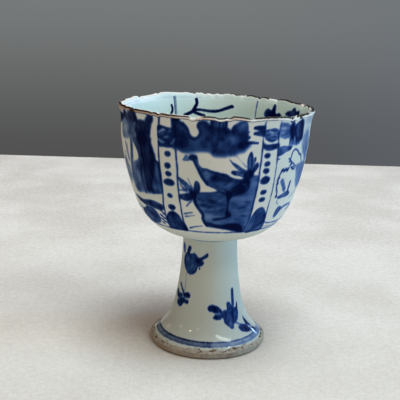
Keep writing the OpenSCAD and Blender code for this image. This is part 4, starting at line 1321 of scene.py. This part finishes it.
# Outside glaze, in millimetres: the cooler stem, greener in tint and darker as painted shade under the bowl,
# a stain under the rim and the bare, rusty edge of the foot
STEM_SHADE_Z = (58, 48)
STEM_SHADE_SHARE = 0.85
RIM_STAIN_X = (-30, -37)
RIM_STAIN_Z = (95.6, 96.8)
RIM_STAIN_SHARE = 0.75
BARE_NOISE = (330, 3, 0.6)
BARE_REACH = 1.1
BARE_Z = (4.6, 4.0)
BARE_ROUGH = 0.5
EDGE_GRIT_NOISE = (620, 2, 0.6)
EDGE_GRIT_SPAN = (0.35, 0.7)
RUST_NOISE = (300, 3, 0.65)
RUST_STRETCH = (1, 1, 3)
RUST_SPAN = (0.52, 0.6)
RUST_TOP_Z = (4.4, 3.9)
RUST_LOW_Z = (2.6, 3.3)
RUST_SHARE = 0.9

# How much of the cobalt is greyed: everywhere, in the foot's band, and at the far left and right, where the
# greying is painted shade at the left and painted light at the right
GREYED_ALL = 0.18
BAND_Z = (7.4, 6.6)
BAND_X = (14, -8)
BAND_RIGHT = 0.6
BAND_GREYED = 0.6
LEFT_SHADE_X = (-18, -34)
LEFT_SHADE_GREYED = 0.5
RIGHT_LIGHT_X = (30, 36)
RIGHT_LIGHT_GREYED = 0.4


def outer_glaze_finish():
    made, finish = material("painted_glaze")
    height = finish.height()
    across = finish.across()
    # Below the bowl the glaze turns greener and darker: partly its tint, partly painted shade
    stem = finish.between(height, *STEM_SHADE_Z)
    ground = finish.mix(stem * STEM_SHADE_SHARE, glaze_ground(finish), STEM_TINT_AND_SHADE)
    stain = finish.between(across, *RIM_STAIN_X) * finish.between(height, *RIM_STAIN_Z)
    ground = finish.mix(stain * RIM_STAIN_SHARE, ground, RIM_BROWN)
    band = finish.between(height, *BAND_Z) * (BAND_RIGHT + (1 - BAND_RIGHT) * finish.between(across, *BAND_X))
    # Greying at the far left is painted shade, and at the far right painted light from the cool window
    greyed = GREYED_ALL + band * BAND_GREYED + finish.between(across, *LEFT_SHADE_X) * LEFT_SHADE_GREYED
    greyed = greyed + finish.between(across, *RIGHT_LIGHT_X) * RIGHT_LIGHT_GREYED
    bare = finish.between(height + BARE_REACH * finish.noise(BARE_NOISE), *BARE_Z)
    biscuit = finish.mix(
        finish.between(finish.noise(EDGE_GRIT_NOISE), *EDGE_GRIT_SPAN), BISCUIT, BISCUIT_GREY)
    paint = finish.mix(bare, painted(finish, ground, greyed), biscuit)
    edge = finish.between(height, *RUST_TOP_Z) * finish.between(height, *RUST_LOW_Z)
    rust = finish.between(finish.noise(RUST_NOISE, RUST_STRETCH), *RUST_SPAN)
    paint = finish.mix(rust * edge * RUST_SHARE, paint, IRON_SPECK)
    shine = BOWL_SHINE + (FLARE_SHINE - BOWL_SHINE) * finish.between(height, *SHINE_Z)
    finish.surface({
        "Base Color": paint, "Roughness": GLAZE_ROUGH + BARE_ROUGH * bare, "IOR": GLAZE_IOR,
        "Specular IOR Level": GLAZE_GLOSS, "Coat Weight": shine * (1 - bare), "Coat Roughness": SHINE_BLUR,
        "Coat IOR": GLAZE_IOR, "Normal": glaze_skin(finish)})
    return made


# Inside glaze: pale blue at the left and grey-green at the right, as painted light and shade, with a pale lip
# at the far left that is a painted highlight
INSIDE_PAINTED_LIGHT_X = (-30, 26)
INSIDE_PAINTED_LIGHT_SHARE = 0.7
INSIDE_GREYED = 0.6
LIP_HIGHLIGHT_X = (-18, -30)
LIP_HIGHLIGHT_Z = (96.4, 97.6)
LIP_HIGHLIGHT_SHARE = 0.55
INSIDE_ROUGH = 0.14
SHEEN_NOISE = (60, 2, 0.5)
SHEEN_SHARE = 0.05


def inner_glaze_finish():
    made, finish = material("bowl_glaze")
    across = finish.across()
    # Painted light and shade: paler and bluer at the left, greyer and greener at the right
    tint = finish.mix(finish.between(across, *INSIDE_PAINTED_LIGHT_X), INSIDE_PAINTED_LIGHT, INSIDE_PAINTED_SHADE)
    ground = finish.mix(INSIDE_PAINTED_LIGHT_SHARE, glaze_ground(finish), tint)
    # A painted highlight on the lip at the far left
    lip = finish.between(finish.height(), *LIP_HIGHLIGHT_Z) * finish.between(across, *LIP_HIGHLIGHT_X)
    ground = finish.mix(lip * LIP_HIGHLIGHT_SHARE, ground, INSIDE_LIP_HIGHLIGHT)
    finish.surface({
        "Base Color": painted(finish, ground, INSIDE_GREYED),
        "Roughness": INSIDE_ROUGH + SHEEN_SHARE * finish.noise(SHEEN_NOISE),
        "IOR": GLAZE_IOR, "Specular IOR Level": GLAZE_GLOSS, "Normal": glaze_skin(finish)})
    return made


# Glaze in the hollow stem: thin and gritty
HOLLOW_NOISE = (500, 3, 0.6)
HOLLOW_SPAN = (0.62, 0.74)
HOLLOW_SHARE = 0.5
HOLLOW_BUMP = (0.00012, 0.5)
HOLLOW_ROUGH = 0.2


def hollow_glaze_finish():
    made, finish = material("hollow_glaze")
    grit = finish.noise(HOLLOW_NOISE)
    bare = finish.between(grit, *HOLLOW_SPAN) * HOLLOW_SHARE
    finish.surface({
        "Base Color": finish.mix(bare, glaze_ground(finish), BISCUIT),
        "Roughness": GLAZE_ROUGH + HOLLOW_ROUGH * grit, "IOR": GLAZE_IOR,
        "Normal": finish.bump(grit, *HOLLOW_BUMP, glaze_skin(finish))})
    return made


# Rim dressing: its colours by how much is left, and how blotches and fine grain break it up
BROWN_TONES = [(0.08, CHIP_WHITE), (0.42, RIM_BUFF), (0.8, RIM_BROWN)]
BLOTCH_NOISE = (190, 3, 0.6)
RIM_FINE_NOISE = (700, 2, 0.6)
BROWN_BLOTCH = 0.7
LINE_BLOTCH = 0.5
RIM_FINE = 0.3
NOISE_MEAN = 0.5
LINE_SPAN = (0.3, 0.62)
LINE_SHARE = 0.95
RIM_IOR = 1.48
RIM_ROUGH = 0.42
BLOTCH_ROUGH = 0.25
RIM_BUMP = (0.00022, 0.6)


def rim_finish():
    made, finish = material("iron_rim")
    blotch = finish.noise(BLOTCH_NOISE)
    fine = finish.noise(RIM_FINE_NOISE)

    def broken_up(name, share):
        return finish.attribute(name) + share * (blotch - NOISE_MEAN) + RIM_FINE * (fine - NOISE_MEAN)

    worn = finish.ramp(broken_up("brown", BROWN_BLOTCH), BROWN_TONES)
    line = finish.between(broken_up("line", LINE_BLOTCH), *LINE_SPAN)
    finish.surface({
        "Base Color": finish.mix(line * LINE_SHARE, worn, RIM_DARK),
        "Roughness": RIM_ROUGH + BLOTCH_ROUGH * blotch, "IOR": RIM_IOR,
        "Specular IOR Level": GLAZE_GLOSS, "Normal": finish.bump(fine + blotch, *RIM_BUMP)})
    return made


# Bare biscuit: pale and gritty, rusty at the left, stained in spots, and darker low on the foot as painted
# shade where it meets the table
GRIT_NOISE = (620, 3, 0.65)
GRIT_SPAN = (0.3, 0.7)
GRIT_BUMP = (0.00016, 0.6)
GRIT_ROUGH = 0.15
BISCUIT_ROUGH = 0.78
STAIN_NOISE = (120, 3, 0.6)
STAIN_SPAN = (0.58, 0.75)
STAIN_SHARE = 0.45
RUSTY_SPAN = (0.3, 0.62)
RUSTY_X = (4, -22)
RUSTY_SHARE = 0.6
CONTACT_SHADE_Z = (1.1, 0)
CONTACT_SHADE_SHARE = 0.6
PIT_NOISE = (1500, 1, 0.4)
PIT_BUMP = (0.00006, 0.6)


def porcelain_finish():
    made, finish = material("porcelain")
    grit = finish.noise(GRIT_NOISE)
    stain = finish.noise(STAIN_NOISE)
    paint = finish.mix(finish.between(grit, *GRIT_SPAN), BISCUIT, BISCUIT_GREY)
    rusty = finish.between(finish.across(), *RUSTY_X) * finish.between(stain, *RUSTY_SPAN)
    paint = finish.mix(rusty * RUSTY_SHARE, paint, BISCUIT_RUST)
    paint = finish.mix(finish.between(stain, *STAIN_SPAN) * STAIN_SHARE, paint, IRON_SPECK)
    # Painted shade darkens the lowest millimetre of the foot, where it meets the table
    paint = finish.mix(finish.between(finish.height(), *CONTACT_SHADE_Z) * CONTACT_SHADE_SHARE, paint, BISCUIT_CONTACT_SHADE)
    finish.surface({
        "Base Color": paint, "Roughness": BISCUIT_ROUGH + GRIT_ROUGH * grit,
        "Normal": finish.bump(finish.noise(PIT_NOISE), *PIT_BUMP, finish.bump(grit, *GRIT_BUMP))})
    return made


# Slip
SMEAR_NOISE = (240, 3, 0.6)
SMEAR_SPAN = (0.35, 0.7)
SMEAR_BUMP = (0.0002, 0.5)
SMEAR_ROUGH = 0.1
SLIP_ROUGH = 0.8


def slip_finish():
    made, finish = material("slip")
    smear = finish.noise(SMEAR_NOISE)
    finish.surface({
        "Base Color": finish.mix(finish.between(smear, *SMEAR_SPAN), SLIP_PALE, BISCUIT),
        "Roughness": SLIP_ROUGH + SMEAR_ROUGH * smear, "Normal": finish.bump(smear, *SMEAR_BUMP)})
    return made


# Pale linen under the cup: soft patches, nap and crossed threads, and paler to the back as painted light,
# where the lamps reach it less
CLOTH_NOISE = (14, 3, 0.55)
CLOTH_SPAN = (0.35, 0.65)
CLOTH_SHARE = 0.5
NAP_NOISE = (380, 2, 0.6)
NAP_SPAN = (0.3, 0.7)
NAP_SHARE = 0.3
NAP_BUMP = (0.0004, 0.4)
NAP_SMOOTH = 0.05
THREAD_NOISE = (1100, 1, 0.5)
WARP_STRETCH = (1, 0.35, 1)
WEFT_STRETCH = (0.35, 1, 1)
THREAD_SHARE = 0.8
THREAD_BUMP = (0.0002, 0.5)
CLOTH_ROUGH = 0.95
CLOTH_PAINTED_LIGHT_Y = (-40, 260)


def cloth_finish():
    made, finish = material("cloth")
    nap = finish.noise(NAP_NOISE)
    thread = finish.noise(THREAD_NOISE, WARP_STRETCH) + finish.noise(THREAD_NOISE, WEFT_STRETCH)
    shade = finish.between(finish.noise(CLOTH_NOISE), *CLOTH_SPAN) * CLOTH_SHARE
    shade = shade + finish.between(nap, *NAP_SPAN) * NAP_SHARE + (thread - 1) * THREAD_SHARE
    # Painted light makes the cloth paler towards the back
    linen_with_painted_light = finish.mix(finish.between(finish.behind(), *CLOTH_PAINTED_LIGHT_Y), CLOTH, CLOTH_FAR_PAINTED_LIGHT)
    finish.surface({
        "Base Color": finish.mix(shade, linen_with_painted_light, CLOTH_SHADE), "Roughness": CLOTH_ROUGH - NAP_SMOOTH * nap,
        "Normal": finish.bump(thread, *THREAD_BUMP, finish.bump(nap, *NAP_BUMP))})
    return made


def dress(piece, finish):
    """Gives a piece one finish all over."""
    piece.data.materials.clear()
    piece.data.materials.append(finish)


def put(piece, finish, slot, *nodes):
    """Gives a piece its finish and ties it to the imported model."""
    dress(piece, finish)
    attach(piece, "root")
    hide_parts(*nodes)


# Outside glaze, with the painting under it
hidden = bowl_outside(GLAZE_T, joint_slope, HIDDEN_STEP)[::-1]
hidden_stem = stem_outside(GLAZE_T, GLAZE_LINE, HIDDEN_STEP)[::-1]
shell, angles, heights = lathe(
    "outer_glaze_painted", np.concatenate([outside_rows, hidden, hidden_stem]), PAINTED_COLUMNS, thrown,
    len(outside_rows))
shown = PAINTED_COLUMNS * len(outside_rows)
keep_values(shell, "cobalt", outside_wall.at(angles[:shown], heights[:shown]))
put(shell, outer_glaze_finish(), "painted_glaze", "outer_glaze")

# Inside glaze, whose first row is a single point
lining, angles, heights = lathe(
    "inner_glaze_painted", np.concatenate([inside_rows[::-1], bowl_inside(GLAZE_T, HIDDEN_STEP)]),
    PAINTED_COLUMNS, thrown, len(inside_rows))
shown = PAINTED_COLUMNS * (len(inside_rows) - 1)
keep_values(lining, "cobalt", inside_wall.at(angles[:shown], heights[:shown]))
put(lining, inner_glaze_finish(), "clear_glaze", "inner_glaze")

# Rim dressing: iron brown outside at the left, worn to buff and white elsewhere, with a dark line on top;
# along the far rim at the left the white is partly wear and partly a painted highlight
RIM_STEP = 0.15
LINE_BLUR = 0.06
LINE_BREAK = 2.4
LOWER_REACH = (0.05, 0.12)
NOTCH_DARK = 3
PALE_TOP = 0.9
UNWORN = 1.1
CHIP_BLEACH = 1.5
BLEACH_LEAST = 0.4
BLEACH_FROM = (0.08, 0.3)

# Values at angles round the rim. Reaches run from 0, at the outside, to 1, at the inside
# Little brown is left from -180 to -118 degrees: the rim is worn white there, and the white is partly a
# painted highlight
BROWN_LEFT = [
    (-180, 0.25), (-150, 0.1), (-118, 0.1), (-100, 0.8), (-62, 0.9), (-50, 0.6), (-30, 0.55), (-15, 0.5),
    (-6, 0.35), (4, 0.5), (12, 0.4), (20, 0.2), (44, 0.15), (72, 0.15), (90, 0.4), (112, 0.6), (130, 0.5),
    (160, 0.4),
]
DARK_LINE = [
    (-180, 0.6), (-160, 0.3), (-115, 0.2), (-98, 0.8), (-80, 1), (-62, 1.1), (-40, 1), (-22, 0.9), (-13, 0.6),
    (-4, 0.6), (8, 0.6), (22, 0.7), (32, 0.9), (58, 1), (74, 0.7), (95, 0.9), (110, 1.1), (126, 1.2),
    (160, 1.2), (170, 0.8),
]
LINE_REACH = [
    (-180, 0.72), (-100, 0.7), (-80, 0.58), (-62, 0.46), (-16, 0.48), (-2, 0.64), (60, 0.7), (90, 0.8),
    (110, 0.94), (160, 0.94), (174, 0.78),
]
LINE_START = [(-180, 0.25), (-80, 0.25), (-62, 0.2), (-16, 0.22), (-2, 0.25), (180, 0.25)]
LOWER_LINE = [(-180, 0), (-62, 0.1), (-50, 0.6), (30, 0.6), (44, 0.3), (70, 0), (180, 0)]


def round_rim(angles, stations):
    """Values set at a few angles of the rim, and evenly between."""
    places, values = zip(*stations)
    return np.interp(angles, places, values, period=360)


def worn_by(chips, angles, strength):
    """What chips leave of a colour, where their strength is how soon they take it off."""
    return np.clip(UNWORN - strength * chip_depth(angles, chips), 0, 1)


over = lip_round(0, RIM_STEP)
lip, angles, heights = lathe(
    "rim_dressing_worn", np.concatenate([over, lip_round(GLAZE_T, RIM_STEP)[::-1]]), PAINTED_COLUMNS, thrown,
    len(over))
angles = angles[:PAINTED_COLUMNS * len(over)]
inward = np.repeat(np.linspace(0, 1, len(over)), PAINTED_COLUMNS)
reach = round_rim(angles, LINE_REACH)
begin = round_rim(angles, LINE_START)
line = smooth_step(begin - LINE_BLUR, begin + LINE_BLUR, inward)
line = line * (1 - smooth_step(reach - LINE_BLUR, reach + LINE_BLUR, inward))
line = line * round_rim(angles, DARK_LINE) * worn_by(FRONT_CHIPS, angles, LINE_BREAK)
lower = (1 - smooth_step(*LOWER_REACH, inward)) * round_rim(angles, LOWER_LINE)
keep_values(lip, "line", line + NOTCH_DARK * chip_depth(angles, DARK_NOTCHES) + lower)
bleach = CHIP_BLEACH * (BLEACH_LEAST + (1 - BLEACH_LEAST) * smooth_step(*BLEACH_FROM, inward))
pale = 1 - PALE_TOP * smooth_step(reach, reach + LINE_BLUR, inward)
keep_values(lip, "brown", round_rim(angles, BROWN_LEFT) * worn_by(CHIPPED, angles, bleach) * pale)
put(lip, rim_finish(), "iron_rim", "rim_dressing")

# Porcelain body under the glaze
porcelain = porcelain_finish()
bowl_rows = joined(
    np.linspace((0, joint_z), (joint_r, joint_z), FEWEST_STEPS),
    bowl_outside(GLAZE_T, joint_slope, PLAIN_STEP),
    lip_round(GLAZE_T, PLAIN_STEP), bowl_inside(GLAZE_T, PLAIN_STEP))
put(lathe("bowl_thrown", bowl_rows, HIDDEN_COLUMNS, thrown)[0], porcelain, "porcelain", "bowl")
stem_rows = joined(
    np.linspace(ring_edge, (foot_r - EDGE_R, 0), FEWEST_STEPS),
    arc((foot_r - EDGE_R, EDGE_R), EDGE_R, -90, 0, RIM_STEP), stem_outside(GLAZE_T, 0, PLAIN_STEP),
    hollow_wall(PLAIN_STEP)[::-1])[:-1]
put(lathe("stem_trimmed", stem_rows, PAINTED_COLUMNS, trimmed)[0], porcelain, "porcelain", "stem")

# Slip and the glaze in the hollow keep their modelled shapes
dress(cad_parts["luting_slip"], slip_finish())
dress(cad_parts["hollow_glaze"], hollow_glaze_finish())

# Table: a pale cloth whose far edge lies behind the cup, in metres
TABLE_BACK = 0.384
TABLE_FRONT = -1.6
TABLE_HALF = 1.6
table_mesh = bpy.data.meshes.new("table")
table_mesh.from_pydata(
    [(-TABLE_HALF, TABLE_FRONT, 0), (TABLE_HALF, TABLE_FRONT, 0), (TABLE_HALF, TABLE_BACK, 0),
     (-TABLE_HALF, TABLE_BACK, 0)], [], [(0, 1, 2, 3)])
table = add("table", table_mesh)
dress(table, cloth_finish())

# Room: a grey wall that only the camera and mirrored rays see, and warm light all round, dimmer at the left
WALL_LOW = colour(82, 82, 82)
WALL_HIGH = colour(120, 123, 123)
WALL_RISE = (-0.2, 0.01)
WALL_BLUE = colour(104, 112, 122)
WALL_BLUE_X = (-0.05, 0.4)
WALL_BLUE_SHARE = 0.6
ROOM_LIGHT = colour(255, 231, 221)
ROOM_DIM = colour(172, 148, 134)
ROOM_DIM_X = (-0.9, 0.7)
ROOM_STRENGTH = 0.37
SEEN_RAYS = ("Is Camera Ray", "Is Glossy Ray", "Is Transmission Ray")
world = bpy.data.worlds.new("room")
world.use_nodes = True
bpy.context.scene.world = world
room = Finish(world.node_tree)
outward = room.place("Generated")
sideways = room.part(outward, "X")
plaster = room.mix(room.between(room.part(outward, "Z"), *WALL_RISE), WALL_LOW, WALL_HIGH)
plaster = room.mix(room.between(sideways, *WALL_BLUE_X) * WALL_BLUE_SHARE, plaster, WALL_BLUE)
backdrop = room.node("ShaderNodeBackground", None, {"Color": plaster, "Strength": 1.0})
dimmed = room.mix(room.between(sideways, *ROOM_DIM_X), ROOM_DIM, ROOM_LIGHT)
ambient = room.node("ShaderNodeBackground", None, {"Color": dimmed, "Strength": ROOM_STRENGTH})
camera_ray, glossy_ray, through_ray = (room.node("ShaderNodeLightPath", out=ray) for ray in SEEN_RAYS)
seen = camera_ray + glossy_ray + through_ray
lit = room.node("ShaderNodeMixShader", None, {0: seen, 1: ambient, 2: backdrop})
room.node("ShaderNodeOutputWorld", None, {"Surface": lit})

# Soft lamps: name, place, width and height in metres, power, colour, and whether the glaze mirrors it
DAYLIGHT = colour(236, 248, 255)
CANDLE = colour(255, 226, 184)
LAMPS = [
    ("ceiling", (0.09, -0.16, 1.29), (0.5, 0.5), 11.1, DAYLIGHT, False),
    ("roof_light", (0.46, -0.12, 1.21), (0.06, 0.5), 1.0, DAYLIGHT, True),
    ("skylight", (0.63, -0.53, 1.02), (0.68, 0.13), 2.3, colour(244, 255, 250), True),
    ("window", (1.28, 0, 0.2), (0.5, 0.5), 7.4, colour(64, 192, 255), False),
    ("far_window", (0.88, 0.92, 0.27), (0.13, 0.11), 0.62, colour(176, 216, 255), True),
    ("candle_front", (-0.484, -0.924, 0.808), (0.06, 0.035), 0.14, CANDLE, True),
    ("candle_middle", (-0.787, -0.64, 0.841), (0.09, 0.05), 0.32, CANDLE, True),
    ("candle_side", (-1.147, -0.192, 0.615), (0.09, 0.05), 0.32, CANDLE, True),
    ("candle_back", (-1.1, 0.61, 0.38), (0.06, 0.07), 0.21, CANDLE, True),
]
for name, place, size, power, tint, mirrored in LAMPS:
    lamp = bpy.data.lights.new(name, "AREA")
    lamp.shape = "RECTANGLE"
    lamp.size, lamp.size_y = size
    lamp.energy = power
    lamp.color = tint[:3]
    holder = add(name, lamp)
    holder.visible_glossy = mirrored
    holder.location = place
    aim = Vector((0, 0, CUP_H * MM / 2)) - Vector(place)
    holder.rotation_euler = aim.to_track_quat("-Z", "Y").to_euler()

# Camera where the photograph was taken from, in millimetres and degrees
CAMERA_AT = (0, -330.08, 142.25)
FOCAL_PIXELS = 827.8
PICTURE_PIXELS = 400
SENSOR_WIDTH = 36
NEAREST = 0.01
PITCH = 13.984
YAW = -0.811
ROLL = 1.56
camera_data = bpy.data.cameras.new("camera")
camera_data.sensor_width = SENSOR_WIDTH
camera_data.lens = FOCAL_PIXELS / PICTURE_PIXELS * SENSOR_WIDTH
camera_data.clip_start = NEAREST
camera = add("camera", camera_data)
pitch, yaw, roll = (math.radians(a) for a in (PITCH, YAW, ROLL))
forward = Vector((math.sin(yaw) * math.cos(pitch), math.cos(yaw) * math.cos(pitch), -math.sin(pitch)))
side = Vector((math.cos(yaw), -math.sin(yaw), 0))
upright = side.cross(forward)
across = side * math.cos(roll) + upright * math.sin(roll)
above = upright * math.cos(roll) - side * math.sin(roll)
turned = Matrix((across, above, -forward)).transposed().to_4x4()
camera.matrix_world = Matrix.Translation(Vector(CAMERA_AT) * MM) @ turned
bpy.context.scene.camera = camera
bpy.context.scene.view_settings.view_transform = "Standard"
